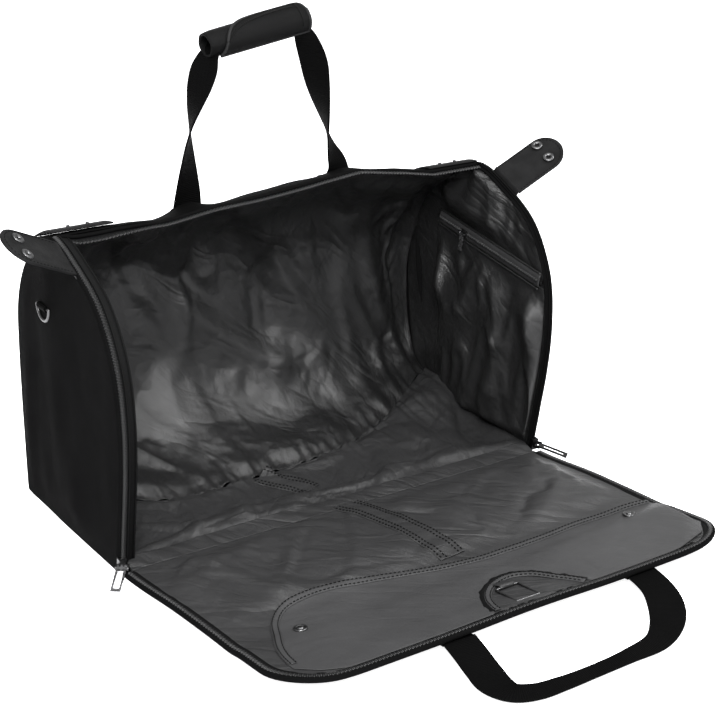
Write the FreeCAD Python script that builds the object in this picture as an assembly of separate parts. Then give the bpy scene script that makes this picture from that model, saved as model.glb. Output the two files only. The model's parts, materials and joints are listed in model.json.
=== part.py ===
"""Carry-on garment bag, standing open with its front flap laid down on the surface in front of it.

Frame: millimetres, with the origin at the middle of the base's underside.
X runs along the bag, -Y towards the opening, and Z up.
"""
import math
import os

import FreeCAD
import Part

V = FreeCAD.Vector
X_AXIS = V(1, 0, 0)
ORIGIN = V(0, 0, 0)
SIDES = ((-1, "left"), (1, "right"))
FAR = 400.0                    # beyond every piece, for trimming boxes

# ---- sheet thicknesses and gaps ----
SHELL = 3.0                    # padded outer panels
BASE_CLOTH = 2.0
BOARD = 1.5
STIFFENER = 1.4
LINING = 1.0
TAPE = 0.8                     # zip tape
PATCH = 0.8                    # pieces sewn on a lining
COIL = 3.0                     # zip coil, across
CLEAR = 0.3                    # between neighbouring layers
SKIN = 0.2                     # between a panel and what is sewn on its outside

# ---- bag body ----
HALF_LENGTH = 280.0            # middle of the bag to the outer face of an end panel
RIDGE_HEIGHT = 334.0           # top of the domed ends, where the zip crosses
DOME_HALF = [(120.0, 0.0), (130.2, 57.5), (140.0, 115.0), (144.0, 165.0),
             (135.0, 234.0), (104.0, 285.0), (56.0, 315.0)]   # half depth and height of a domed end
END_INNER = HALF_LENGTH - SHELL            # inner face of an end panel
SHEET_HALF = END_INNER - CLEAR             # panels between the two ends
LINING_HALF = 273.9                        # linings between the two ends
BASE_FRONT = 123.7                         # front edge of the base, where the flap is hinged
BASE_BACK = 116.5
BOARD_HALF = 270.0
BOARD_Y = (-118.0, 112.0)
BOARD_Z = BASE_CLOTH + CLEAR
FLOOR_LINING_Z = BOARD_Z + BOARD + CLEAR
FLOOR_BAND = [(-66, -22), (-30, -18), (22, -118), (-13, -118)]
END_LINING_X = 275.0
END_LINING = 0.8
END_LINING_INSET = 5.2
INNER = SHELL + CLEAR                      # inset of what lies inside the back panel

# Distances along the domed outline from the ridge, positive towards the front.
BACK_PANEL_TOP = -3.0
BACK_LINING_TOP = -14.0
BACK_LINING_FOOT = 6.0                     # from the outline's start at the back of the base
TOP_TAPE = (-11.0, 6.0)
TOP_COIL_START = 6.3
TOP_COIL_INSET = (2.2, 4.9)
TOP_STRIP = (-26.0, -2.0)
TOP_STRIP_HALF = 276.0
TOP_STRIP_INSET = (-1.4, -0.2)
STUD_PATCH = (-48.0, -3.0)
STUD_PATCH_X = (206.0, 276.0)
STUD_PATCH_INSET = (-3.4, -1.7)
STUD_PLACE = -14.0
STUD_X = (230.0, 252.0)
STUD_LIFT = 3.6                            # foot of a stud above the outline
STUD_RADIUS = 5.5
STUD_POST = 1.9                            # radius
STUD_HEIGHT = 3.0
ANCHOR = (-202.0, -52.0)                   # webbing down the back panel, under the back handle
ANCHOR_X = (-92.0, 100.0)
ANCHOR_INSET = (-1.8, -0.2)
SIDE_ZIP_GAP = 8.0                         # a side zip stops short of the ridge and the base
SIDE_TAPE_X = 276.0
SIDE_TAPE_INSET = (0.4, 13.0)
SIDE_COIL_X = 278.6                        # middle of the coil along an end panel's front edge
SIDE_COIL_HALF = 1.4
SIDE_COIL_INSET = (-COIL, -0.4)

# ---- front flap ----
HINGE_Y = -124.0               # flap hinge, along X
HINGE_Z = 6.2                  # both flap hinges run along the top of the flap's layers
FOLD_Y = -320.0                # where the flap's far part folds
FOLD_GAP = 0.4
FLAP_NEAR = HINGE_Y - CLEAR    # near edge of the flap's panel
FLAP_EDGE = -442.0             # far edge of the flap's panel
FLAP_TILT = 6.0                # degrees that the far part rests above the near part
FLAP_HALF = 270.0
FLAP_CORNER = 52.0
FLAP_COIL_HALF = 273.5
FLAP_TAPE_HALF = 269.6
FLAP_TAPE_WIDTH = 11.6
FLAP_STIFFENER_HALF = 256.0
FLAP_STIFFENER_INSET = 14.0
FLAP_STIFFENER_START = FLAP_NEAR - 8.0
FLAP_TAPE_Z = BASE_CLOTH + SKIN
FLAP_LINING_Z = 3.9
FLAP_COIL_Z = (1.4, 4.4)
FLAP_ZIP_START = FLAP_NEAR - 12.0
POCKET_Z = 5.2                 # pocket, band and tab on top of the flap's lining
FLAP_BAND = [(-12, -128), (23, -128), (44, -298), (8, -296)]
POCKET_RIGHT = 262.0
POCKET_HEM = [(-224, FOLD_Y + FOLD_GAP), (-219, -284), (-209, -262), (-93, -294), (22, -303), (163, -307),
              (POCKET_RIGHT, -304), (POCKET_RIGHT, FOLD_Y + FOLD_GAP)]
POCKET_FAR = [(-226, FOLD_Y - 1), (POCKET_RIGHT, FOLD_Y - 1), (POCKET_RIGHT, FLAP_EDGE), (-256, FLAP_EDGE)]
POCKET_HALF = 264.0            # limits the pocket to the flap's rounded outline
POCKET_EDGE = FLAP_EDGE + 4.0
NOTCH_X = 22.0                 # middle of the pocket's half-oval opening and of the hanger ring
NOTCH_RADIUS = 68.0
SNAP_X = (-190.0, 240.0)
SNAP_Y = -335.0
SNAP_RADIUS = 7.0
SNAP_HEIGHT = 1.3
HANG_BAR_Y = -390.0
HANG_FAR_Y = -424.0
HANG_HALF = 14.0
HANG_Z = 7.8
HANG_WIRE = 1.3
HANG_BORE = 1.45
HANG_SLEEVE = 2.6
HANG_TAB_HALF = 10.0
HANG_TAB_LENGTH = 16.0

# ---- webbing handles: each point is a centre, the direction across the strap, and its width ----
WEB_WIDTH = 38.0
WEB = 2.2
HANDLE_PIVOT = V(0, 42, 330)
GRIP_LEFT = V(-74, 40, 501)
GRIP_RIGHT = V(62, 40, 522)
GRIP_ALONG = (GRIP_RIGHT - GRIP_LEFT).normalize()
GRIP_LENGTH = (GRIP_RIGHT - GRIP_LEFT).Length
GRIP_INNER = 13.5
GRIP_OUTER = 17.0
GRIP_WEB = 24.0                # the webbing is folded narrower inside the grip
GRIP_FLAP_GAP = 0.4
GRIP_FLAP = 2.0
GRIP_FLAP_ARC = (-45.0, 118.0)     # degrees, from the front over the top
GRIP_FLAP_END = 6.0                # the closing flap stops short of the pad's ends
FRONT_ANCHOR_X = (-78.0, 158.0)
FRONT_ANCHOR_Y = (-440.0, -372.0)
FRONT_ANCHOR_Z = (-1.9, -0.3)

# ---- snap tabs, each hinged on a root sewn to an end panel ----
TAB_LENGTH = 82.0
TAB_WIDTH = 50.0
TAB_START = 1.5                # from the hinge to the leather's edge
TAB_HALF = 1.0                 # half the leather's thickness
TAB_SOCKET = 57.5              # hinge to the snap sockets
SOCKET_HALF_PITCH = 12.0
SOCKET_RADIUS = 6.5
SOCKET_NECK = 3.4
SOCKET_BORE = 2.2
SOCKET_HOLE = 3.6              # through the leather
SOCKET_CAP_Z = (1.1, 2.3)
SOCKET_NECK_Z = (-1.2, 1.2)
SOCKET_UNDER_Z = (-2.2, -1.1)
SOCKET_BORE_Z = (-0.5, 3.0)
TAB_PIVOT_X = 283.5
TAB_LIFT = 5.5                 # hinge above the outline
TAB_REST = {-1: 28.0, 1: 23.0}     # degrees above level, left and right
TAB_PLACE = {-1: 50.0, 1: 38.0}    # along the outline from the ridge
ROOT = 1.6
ROOT_Z = (-26.0, -1.5)

# ---- shoulder-strap rings ----
RING_BAR = V(-284.6, 19, 254)
RING_RADIUS = 15.0
RING_WIRE = 1.8
RING_BORE = RING_WIRE + 0.2
RING_SLEEVE = 3.6
RING_SLEEVE_HALF = 11.0
RING_PATCH_X = (-281.6, -280.2)
RING_PATCH_Z = (-3.0, 30.0)    # below and above the ring's bar

# ---- zip sliders and pulls ----
PIN = 1.0                      # radius of the pins
PIN_HOLE = 1.08
SLIDER_Z = 12.0                # along the front edge, from the base to a main slider
SLIDER_TRAVEL = 70.0           # the front edge is straight over this stretch
SLIDER_HALF = 4.2
SLIDER_HALF_LENGTH = 7.0
SLIDER_LEVEL = (0.6, 6.2)      # bottom and top, above the middle of the coil
SLIDER_SLOT = 2.2              # half the width of the channel over the coil
SLIDER_SLOT_TOP = 3.8
NECK_HALF = 3.0
NECK_OUT = 6.0                 # middle of the coil to the neck that carries the pull
NECK_RADIUS = 2.6
PIN_AHEAD = 5.5
PULL_YAW = 38.0                # degrees that a pull points outwards from straight ahead
PULL_LENGTH = 36.0
PULL_WIDTH = 11.0
PULL_THICKNESS = 2.0
PULL_DROP = 15.0               # degrees that a pull slopes to the floor
PULL_RIM = 2.4                 # beside a pull's slot
PULL_SLOT_START = 6.0
PULL_SLOT_END = 5.0            # short of the pull's tip
EAR_GAP = 0.4
EAR = 1.2
EAR_HALF = 1.9
EAR_BRIDGE = 1.4

# ---- zipped pocket on the right end's lining ----
POCKET_ZIP_BACK = V(0, 66, 254)
POCKET_ZIP_FRONT = V(0, -129, 221)
POCKET_SLIDER = 53.0           # along the pocket's zip, from its back end
POCKET_FACE = 274.8
POCKET_INSET = 9.0
POCKET_FLOOR = 6.5
POCKET_BACK = 70.0
POCKET_TAPE_Y = (-0.6, 10.0)
POCKET_COIL_HALF = 2.0
POCKET_COIL_Z = (1.2, 3.2)
POCKET_STOP = 3.7
POCKET_STOP_PROUD = 0.6
POCKET_PIN_OUT = 8.6
POCKET_SLIDER_SHELL = (5.5, SLIDER_HALF, 1.3, 5.4)     # half length, half width, bottom and top
POCKET_SLIDER_SLOT = (6.0, 2.4, 1.0, 3.5)
POCKET_EAR_DEPTH = 4.0
POCKET_PULL_LENGTH = 22.0
POCKET_PULL_WIDTH = 6.0
POCKET_PULL_THICKNESS = 1.4


# ---- helpers ----
def box(x0, x1, y0, y1, z0, z1):
    return Part.makeBox(x1 - x0, y1 - y0, z1 - z0, V(x0, y0, z0))


def centred(x, y, z0, z1):
    """A box with half sizes x and y about the origin."""
    return box(-x, x, -y, y, z0, z1)


def rod(start, end, radius):
    return Part.makeCylinder(radius, (end - start).Length, start, end - start)


def plate(points, z0, z1):
    """A flat plate from its outline in plan."""
    corners = [V(x, y, z0) for x, y in points]
    return Part.Face(Part.makePolygon(corners + [corners[0]])).extrude(V(0, 0, z1 - z0))


def placed(shape, origin, x_dir, y_dir):
    """Move a shape made about the origin to a frame given by its x and y directions."""
    z_dir = x_dir.cross(y_dir)
    matrix = FreeCAD.Matrix(x_dir.x, y_dir.x, z_dir.x, origin.x,
                            x_dir.y, y_dir.y, z_dir.y, origin.y,
                            x_dir.z, y_dir.z, z_dir.z, origin.z, 0, 0, 0, 1)
    moved = shape.copy()
    moved.Placement = FreeCAD.Placement(matrix).multiply(moved.Placement)
    return moved


def mirrored(shape):
    return shape.mirror(ORIGIN, X_AXIS)


def save(name, *solids):
    shape = solids[0] if len(solids) == 1 else Part.makeCompound(list(solids))
    if not shape.isValid():
        raise ValueError("not valid: " + name)
    shape.exportStep("parts/%s.step" % name)


def save_pair(name, right_shape):
    save("right_" + name, right_shape)
    save("left_" + name, mirrored(right_shape))


def save_both(name, right_shape):
    """The same piece on the right and on the left, in one node."""
    save(name, right_shape, mirrored(right_shape))


# ---- the domed outline, from the back of the base over the ridge to the front of the base ----
def dome_curve():
    back = [V(0, y, z) for y, z in DOME_HALF]
    front = [V(0, -p.y, p.z) for p in reversed(back)]
    curve = Part.BSplineCurve()
    curve.interpolate(back + [V(0, 0, RIDGE_HEIGHT)] + front)
    return curve


DOME = dome_curve()
DOME_LENGTH = DOME.length()
RIDGE = DOME_LENGTH / 2


def dome_frame(distance):
    """Point and unit tangent on the outline."""
    point, tangent = DOME.getD1(DOME.parameterAtDistance(distance, DOME.FirstParameter))
    return point, tangent.normalize()


def dome_point(distance, inset):
    point, tangent = dome_frame(distance)
    return point + V(0, -tangent.z, tangent.y) * inset


def dome_edge(start, end, inset, x):
    count = max(6, int(abs(end - start) / 16))
    points = [dome_point(start + (end - start) * i / count, inset) for i in range(count + 1)]
    points = [V(x, p.y, p.z) for p in points]
    curve = Part.BSplineCurve()
    curve.interpolate(points)
    return curve.toShape(), points[0], points[-1]


def curved_strip(span, insets, spread):
    """A strip that follows the outline over a span, between two insets, and spreads along X."""
    outer, outer_start, outer_end = dome_edge(span[0], span[1], insets[0], spread[0])
    inner, inner_start, inner_end = dome_edge(span[0], span[1], insets[1], spread[0])
    ends = [Part.makeLine(outer_end, inner_end), Part.makeLine(inner_start, outer_start)]
    wire = Part.Wire(Part.__sortEdges__([outer, inner] + ends))
    return Part.Face(wire).extrude(V(spread[1] - spread[0], 0, 0))


def from_ridge(span):
    return RIDGE + span[0], RIDGE + span[1]


def dome_plate(inset, x0, x1, floor):
    """The whole domed end, inset from its outline and standing on a level."""
    edge, start, end = dome_edge(0, DOME_LENGTH, inset, x0)
    wire = Part.Wire(Part.__sortEdges__([edge, Part.makeLine(end, start)]))
    solid = Part.Face(wire).extrude(V(x1 - x0, 0, 0))
    if floor > 0:
        solid = solid.common(box(x0 - 1, x1 + 1, -FAR, FAR, floor, FAR))
    return solid


# ---- bag body ----
def base():
    save("base_panel", box(-SHEET_HALF, SHEET_HALF, -BASE_FRONT, BASE_BACK, 0, BASE_CLOTH))
    save("base_board", box(-BOARD_HALF, BOARD_HALF, BOARD_Y[0], BOARD_Y[1], BOARD_Z, BOARD_Z + BOARD))
    save("floor_lining", box(-LINING_HALF, LINING_HALF, -BASE_FRONT, BASE_BACK - 1,
                             FLOOR_LINING_Z, FLOOR_LINING_Z + LINING))
    save("floor_stitched_band", plate(FLOOR_BAND, POCKET_Z + CLEAR, POCKET_Z + CLEAR + PATCH))


def back():
    sheet = (-SHEET_HALF, SHEET_HALF)
    lining = (-LINING_HALF, LINING_HALF)
    strip = (-TOP_STRIP_HALF, TOP_STRIP_HALF)
    coil_span = (TOP_COIL_START, TOP_COIL_START + COIL)
    save("back_panel", curved_strip((0, RIDGE + BACK_PANEL_TOP), (0, SHELL), sheet))
    lining_span = (BACK_LINING_FOOT, RIDGE + BACK_LINING_TOP)
    save("back_lining", curved_strip(lining_span, (INNER, INNER + LINING), lining))
    save("top_zip_tape", curved_strip(from_ridge(TOP_TAPE), (INNER, INNER + TAPE), lining))
    save("top_zip_coil", curved_strip(from_ridge(coil_span), TOP_COIL_INSET, lining))
    save("top_strip", curved_strip(from_ridge(TOP_STRIP), TOP_STRIP_INSET, strip))


def ends():
    save_pair("end_panel", dome_plate(0, END_INNER, HALF_LENGTH, 0))
    lining_floor = FLOOR_LINING_Z + LINING + CLEAR
    save_pair("end_lining", dome_plate(END_LINING_INSET, END_LINING_X, END_LINING_X + END_LINING,
                                       lining_floor))
    zip_span = (RIDGE + SIDE_ZIP_GAP, DOME_LENGTH - SIDE_ZIP_GAP)
    save_both("side_zip_tapes", curved_strip(zip_span, SIDE_TAPE_INSET, (SIDE_TAPE_X, SIDE_TAPE_X + TAPE)))
    coil_x = (SIDE_COIL_X - SIDE_COIL_HALF, SIDE_COIL_X + SIDE_COIL_HALF)
    save_both("side_zip_coils", curved_strip(zip_span, SIDE_COIL_INSET, coil_x))


def stud(x):
    """A snap stud on a top patch: a disc with a post, standing square to the bag's top."""
    point, tangent = dome_frame(RIDGE + STUD_PLACE)
    outward = V(0, tangent.z, -tangent.y)
    foot = V(x, point.y, point.z) + outward * STUD_LIFT
    disc = rod(foot, foot + outward, STUD_RADIUS)
    post = rod(foot + outward * 0.5, foot + outward * STUD_HEIGHT, STUD_POST)
    return disc.fuse(post)


def stud_patches():
    save_both("stud_patches", curved_strip(from_ridge(STUD_PATCH), STUD_PATCH_INSET, STUD_PATCH_X))
    save("patch_studs", *[stud(side * x) for side, name in SIDES for x in STUD_X])


# ---- webbing ----
def web_at(x):
    return x - WEB_WIDTH / 2, x + WEB_WIDTH / 2


def section(centre, across, along, width, thickness):
    """Corners of a strap's cross-section."""
    flat = (across - along * across.dot(along)).normalize()
    a = flat * (width / 2)
    b = along.cross(flat) * (thickness / 2)
    return [centre + a + b, centre - a + b, centre - a - b, centre + a - b]


def ribbon(stations, thickness):
    """One strap through its stations, with its corners joined in order from section to section."""
    centres = [centre for centre, across, width in stations]
    sections = []
    for i, (centre, across, width) in enumerate(stations):
        along = (centres[min(i + 1, len(centres) - 1)] - centres[max(i - 1, 0)]).normalize()
        sections.append(section(centre, across, along, width, thickness))
    faces = [Part.Face(Part.makePolygon(end + end[:1])) for end in (sections[0], sections[-1])]
    for near, far in zip(sections, sections[1:]):
        for i in range(4):
            j = (i + 1) % 4
            edges = Part.makeLine(near[i], near[j]), Part.makeLine(far[i], far[j])
            faces.append(Part.makeRuledSurface(*edges))
    shell = Part.makeShell(faces)
    shell.sewShape()
    solid = Part.makeSolid(shell)
    if solid.Volume < 0:
        solid.reverse()
    return solid


def turned(degrees):
    """Direction across a strap, turned from X towards Y."""
    return V(math.cos(math.radians(degrees)), math.sin(math.radians(degrees)), 0)


def back_handle_path():
    narrower = WEB_WIDTH - 4
    narrow = WEB_WIDTH - 10
    left = [(HANDLE_PIVOT + V(-92, 0, 2), turned(18), WEB_WIDTH),
            (V(-91, 41, 355), turned(28), WEB_WIDTH),
            (V(-89, 40, 385), turned(42), WEB_WIDTH),
            (V(-88, 40, 414), turned(57), WEB_WIDTH),
            (V(-85, 40, 436), turned(80), WEB_WIDTH),
            (V(-81, 40, 460), turned(88), narrower),
            (V(-80, 40, 485), turned(90), narrow)]
    inside = [(GRIP_LEFT - GRIP_ALONG * 3, turned(90), GRIP_WEB),
              (GRIP_LEFT + GRIP_ALONG * 8, turned(90), GRIP_WEB),
              (GRIP_RIGHT - GRIP_ALONG * 8, turned(90), GRIP_WEB),
              (GRIP_RIGHT + GRIP_ALONG * 6, turned(90), GRIP_WEB)]
    right = [(V(78, 40, 505), turned(90), narrow),
             (V(84, 40, 475), turned(90), narrower),
             (V(88, 40, 437), turned(100), WEB_WIDTH),
             (V(94, 40, 408), turned(118), WEB_WIDTH),
             (V(97, 40, 380), turned(135), WEB_WIDTH),
             (V(99, 41, 352), turned(150), WEB_WIDTH),
             (HANDLE_PIVOT + V(100, 0, 2), turned(162), WEB_WIDTH)]
    return left + inside + right


def front_handle_path():
    """The front handle drops from the flap's edge and lies folded on the floor."""
    narrower = WEB_WIDTH - 4
    folding = 22.0
    folded = WEB_WIDTH / 2
    left = [(V(-78, -449.5, 11.0), V(1, 0, 0), WEB_WIDTH),
            (V(-80, -466, 7.0), V(1, 0, 0), WEB_WIDTH),
            (V(-84, -490, 3.5), V(1, 0, 0), WEB_WIDTH),
            (V(-88, -514, 2.4), V(1, 0, 0), WEB_WIDTH),
            (V(-82, -535, 2.0), V(1, 0.8, 0), narrower)]
    middle = [(V(-62, -543, 1.8), V(0.2, 1, 0), folding),
              (V(-20, -545, 1.8), V(0, 1, 0), folded),
              (V(40, -543, 1.8), V(0, 1, 0), folded),
              (V(88, -537, 1.8), V(-0.3, 1, 0), folding)]
    right = [(V(124, -522, 2.4), V(-0.7, 0.7, 0), narrower),
             (V(146, -500, 3.5), V(-1, 0.3, 0), WEB_WIDTH),
             (V(156, -476, 6.0), V(-1, 0.1, 0), WEB_WIDTH),
             (V(158, -449.5, 11.0), V(-1, 0, 0), WEB_WIDTH)]
    return left + middle + right


def handles():
    save("back_handle_webbing", ribbon(back_handle_path(), WEB))
    strips = [curved_strip(from_ridge(ANCHOR), ANCHOR_INSET, web_at(x)) for x in ANCHOR_X]
    save("back_handle_anchors", *strips)
    save("front_handle_webbing", ribbon(front_handle_path(), WEB))
    anchors = [tilted(box(*web_at(x), *FRONT_ANCHOR_Y, *FRONT_ANCHOR_Z)) for x in FRONT_ANCHOR_X]
    save("front_handle_anchors", *anchors)


# ---- padded grip with its closing flap ----
def arc_shell(inner, outer, arc, length):
    """Part of a tube along X; angles run from the front (-Y) over the top."""
    def at(radius, degrees):
        angle = math.radians(degrees)
        return V(0, -radius * math.cos(angle), radius * math.sin(angle))
    start, end = arc
    middle = (start + end) / 2
    edges = [Part.Arc(at(outer, start), at(outer, middle), at(outer, end)).toShape(),
             Part.makeLine(at(outer, end), at(inner, end)),
             Part.Arc(at(inner, end), at(inner, middle), at(inner, start)).toShape(),
             Part.makeLine(at(inner, start), at(outer, start))]
    return Part.Face(Part.Wire(edges)).extrude(V(length, 0, 0))


def grip():
    y_dir = V(0, 1, 0)
    tube = rod(ORIGIN, V(GRIP_LENGTH, 0, 0), GRIP_OUTER)
    pad = tube.cut(rod(V(-1, 0, 0), V(GRIP_LENGTH + 1, 0, 0), GRIP_INNER))
    save("grip_pad", placed(pad, GRIP_LEFT, GRIP_ALONG, y_dir))
    inner = GRIP_OUTER + GRIP_FLAP_GAP
    flap = arc_shell(inner, inner + GRIP_FLAP, GRIP_FLAP_ARC, GRIP_LENGTH - 2 * GRIP_FLAP_END)
    save("grip_flap", placed(flap, GRIP_LEFT + GRIP_ALONG * GRIP_FLAP_END, GRIP_ALONG, y_dir))


# ---- snap tabs ----
def tab_frame(side):
    """Hinge point, direction across the tab, and the direction square to the shoulder."""
    place = RIDGE + TAB_PLACE[side]
    hinge = dome_point(place, -TAB_LIFT)
    tangent = dome_frame(place)[1]
    return V(side * TAB_PIVOT_X, hinge.y, hinge.z), tangent * -1, V(0, tangent.z, -tangent.y)


def tab_leather():
    centre = TAB_LENGTH - TAB_WIDTH / 2
    body = box(TAB_START, centre, -TAB_WIDTH / 2, TAB_WIDTH / 2, -TAB_HALF, TAB_HALF)
    tip = rod(V(centre, 0, -TAB_HALF), V(centre, 0, TAB_HALF), TAB_WIDTH / 2)
    leather = body.fuse(tip).removeSplitter()
    for y in (-SOCKET_HALF_PITCH, SOCKET_HALF_PITCH):
        leather = leather.cut(rod(V(TAB_SOCKET, y, -FAR), V(TAB_SOCKET, y, FAR), SOCKET_HOLE))
    return leather


def socket(y):
    """A snap socket through the leather: a bored cap above it, a neck, and a ring below it."""
    def disc(radius, level):
        return rod(V(TAB_SOCKET, y, level[0]), V(TAB_SOCKET, y, level[1]), radius)
    cap = disc(SOCKET_RADIUS, SOCKET_CAP_Z)
    neck = disc(SOCKET_NECK, SOCKET_NECK_Z)
    under = disc(SOCKET_RADIUS, SOCKET_UNDER_Z)
    return cap.fuse(neck).fuse(under).cut(disc(SOCKET_BORE, SOCKET_BORE_Z))


def snap_tabs():
    roots = []
    for side, name in SIDES:
        hinge, across, up = tab_frame(side)
        rest = math.radians(TAB_REST[side])
        along = V(side * math.cos(rest), 0, 0) + up * math.sin(rest)
        width_dir = across * side
        sockets = [socket(y) for y in (-SOCKET_HALF_PITCH, SOCKET_HALF_PITCH)]
        save(name + "_snap_tab", placed(tab_leather(), hinge, along, width_dir))
        save(name + "_tab_sockets", *[placed(one, hinge, along, width_dir) for one in sockets])
        root = box(0, ROOT, -TAB_WIDTH / 2, TAB_WIDTH / 2, *ROOT_Z)
        inner_x = HALF_LENGTH + SKIN if side > 0 else -HALF_LENGTH - SKIN - ROOT
        roots.append(placed(root, V(inner_x, hinge.y, hinge.z), X_AXIS, across))
        print("tab hinge", name, hinge, "across", across, "up", up)
    save("tab_roots", *roots)


# ---- shoulder-strap rings ----
def strap_ring():
    """A D: half a hoop hanging from a straight bar."""
    bar_start = RING_BAR - V(0, RING_RADIUS, 0)
    bar_end = RING_BAR + V(0, RING_RADIUS, 0)
    hoop = Part.makeTorus(RING_RADIUS, RING_WIRE, RING_BAR, X_AXIS)
    hoop = hoop.common(box(-FAR, FAR, -FAR, FAR, 0, RING_BAR.z))
    ring = hoop.fuse(rod(bar_start, bar_end, RING_WIRE))
    for end in (bar_start, bar_end):
        ring = ring.fuse(Part.makeSphere(RING_WIRE, end))
    return ring


def ring_loop():
    """The webbing loop that holds a ring's bar, sewn to an end panel."""
    reach = V(0, RING_SLEEVE_HALF, 0)
    sleeve = rod(RING_BAR - reach, RING_BAR + reach, RING_SLEEVE)
    patch = box(*RING_PATCH_X, RING_BAR.y - RING_SLEEVE_HALF, RING_BAR.y + RING_SLEEVE_HALF,
                RING_BAR.z + RING_PATCH_Z[0], RING_BAR.z + RING_PATCH_Z[1])
    bore = rod(RING_BAR - reach * 2, RING_BAR + reach * 2, RING_BORE)
    return sleeve.fuse(patch).cut(bore)


def strap_rings():
    save("left_strap_ring", strap_ring())
    save("right_strap_ring", mirrored(strap_ring()))
    save("ring_loops", mirrored(ring_loop()), ring_loop())


# ---- zip sliders and pulls ----
def pull(length, width, thickness):
    """A pull lying along +Y from its pin, with a long slot."""
    body = box(-width / 2, width / 2, 0, length, -thickness / 2, thickness / 2)
    slot = box(-width / 2 + PULL_RIM, width / 2 - PULL_RIM, PULL_SLOT_START, length - PULL_SLOT_END,
               -thickness, thickness)
    pin_reach = width / 2 + EAR_GAP + EAR + SKIN
    return body.cut(slot).fuse(rod(V(-pin_reach, 0, 0), V(pin_reach, 0, 0), PIN))


def ears(width, depth):
    """Two ears that hold a pull's pin, standing back along -Y from it."""
    inner = width / 2 + EAR_GAP
    outer = inner + EAR
    right = box(inner, outer, -depth, EAR_HALF, -EAR_HALF, EAR_HALF)
    right = right.cut(rod(V(-FAR, 0, 0), V(FAR, 0, 0), PIN_HOLE))
    bridge = box(-outer, outer, -depth, -depth + EAR_BRIDGE, -EAR_HALF, EAR_HALF)
    return right.fuse(mirrored(right)).fuse(bridge)


def main_slider():
    """Right-hand slider, astride the coil at the foot of the end panel's front edge."""
    foot = dome_point(DOME_LENGTH - SLIDER_Z, 0)
    up = (dome_point(DOME_LENGTH - SLIDER_Z - SLIDER_TRAVEL, 0) - foot).normalize()
    out = V(0, -up.z, up.y)
    centre = V(SIDE_COIL_X, foot.y, foot.z)
    shell = box(-SLIDER_HALF, SLIDER_HALF, *SLIDER_LEVEL, -SLIDER_HALF_LENGTH, SLIDER_HALF_LENGTH)
    shell = shell.cut(box(-SLIDER_SLOT, SLIDER_SLOT, 0, SLIDER_SLOT_TOP, -FAR, FAR))
    slider = placed(shell, centre, V(-1, 0, 0), out)
    yaw = math.radians(PULL_YAW)
    ahead = V(math.sin(yaw), -math.cos(yaw), 0)
    side = V(-math.cos(yaw), -math.sin(yaw), 0)
    post = centre + out * NECK_OUT
    pin = post + ahead * PIN_AHEAD
    neck = rod(post - up * NECK_HALF, post + up * NECK_HALF, NECK_RADIUS)
    slider = slider.fuse(neck).fuse(placed(ears(PULL_WIDTH, PIN_AHEAD - 0.5), pin, side, ahead))
    drop = math.radians(PULL_DROP)
    down_ahead = ahead * math.cos(drop) - V(0, 0, math.sin(drop))
    print("right slider: pin", pin, "pin axis", side, "travel", up)
    return slider, placed(pull(PULL_LENGTH, PULL_WIDTH, PULL_THICKNESS), pin, side, down_ahead)


def main_sliders():
    slider, tag = main_slider()
    save_pair("zip_slider", slider)
    save_pair("zip_pull", tag)


# ---- zipped pocket on the right end's lining ----
def end_pocket():
    line = POCKET_ZIP_FRONT - POCKET_ZIP_BACK
    length = line.Length
    along = line.normalize()
    above = V(0, along.z, -along.y)
    into_bag = along.cross(above)
    start = V(POCKET_FACE, POCKET_ZIP_BACK.y, POCKET_ZIP_BACK.z)

    def on_line(x0, x1, y0, y1, z0, z1):
        return placed(box(x0, x1, y0, y1, z0, z1), start, along, above)

    def stop(x0):
        half = POCKET_COIL_HALF + POCKET_STOP_PROUD
        return on_line(x0, x0 + POCKET_STOP, -half, half, POCKET_COIL_Z[0], POCKET_COIL_Z[1] + SKIN)

    panel = dome_plate(POCKET_INSET, POCKET_FACE - LINING, POCKET_FACE, POCKET_FLOOR)
    panel = panel.common(box(0, FAR, -FAR, POCKET_BACK, 0, FAR))
    save("end_pocket_panel", panel.cut(on_line(-FAR, FAR, -1, FAR, -20, 20)))
    save("end_pocket_tape", on_line(0, length, *POCKET_TAPE_Y, 0, TAPE))
    save("end_pocket_coil", on_line(0, length, -POCKET_COIL_HALF, POCKET_COIL_HALF, *POCKET_COIL_Z))
    save("end_pocket_stops", stop(-CLEAR - POCKET_STOP), stop(length + CLEAR))
    at = start + along * POCKET_SLIDER
    pin = at + into_bag * POCKET_PIN_OUT
    shell = centred(*POCKET_SLIDER_SHELL).cut(centred(*POCKET_SLIDER_SLOT))
    holder = placed(ears(POCKET_PULL_WIDTH, POCKET_EAR_DEPTH), pin, along, into_bag)
    save("end_pocket_slider", placed(shell, at, along, above).fuse(holder))
    tag = pull(POCKET_PULL_LENGTH, POCKET_PULL_WIDTH, POCKET_PULL_THICKNESS)
    save("end_pocket_pull", placed(tag, pin, along, above * -1))
    print("pocket slider: pin", pin, "pin axis", along, "into bag", into_bag)


# ---- front flap ----
def tilted(shape):
    """The far part of the flap rests tilted about its fold."""
    moved = shape.copy()
    moved.rotate(V(0, FOLD_Y, HINGE_Z), V(-1, 0, 0), FLAP_TILT)
    return moved


def end_outline(half, edge, corner, z0, z1):
    """The flap's far part with its rounded corners, before it is tilted."""
    body = box(-half, half, edge, FOLD_Y - FOLD_GAP, z0, z1)
    corners = [e for e in body.Edges
               if abs(e.CenterOfMass.y - edge) < 0.01 and abs(e.Length - (z1 - z0)) < 0.01]
    return body.makeFillet(corner, corners)


def inset_outline(half, inset, z0, z1):
    return end_outline(half, FLAP_EDGE + inset, FLAP_CORNER - inset, z0, z1)


def both_sides(inner, outer, y0, y1, z0, z1):
    right = box(inner, outer, y0, y1, z0, z1)
    return mirrored(right), right


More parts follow.
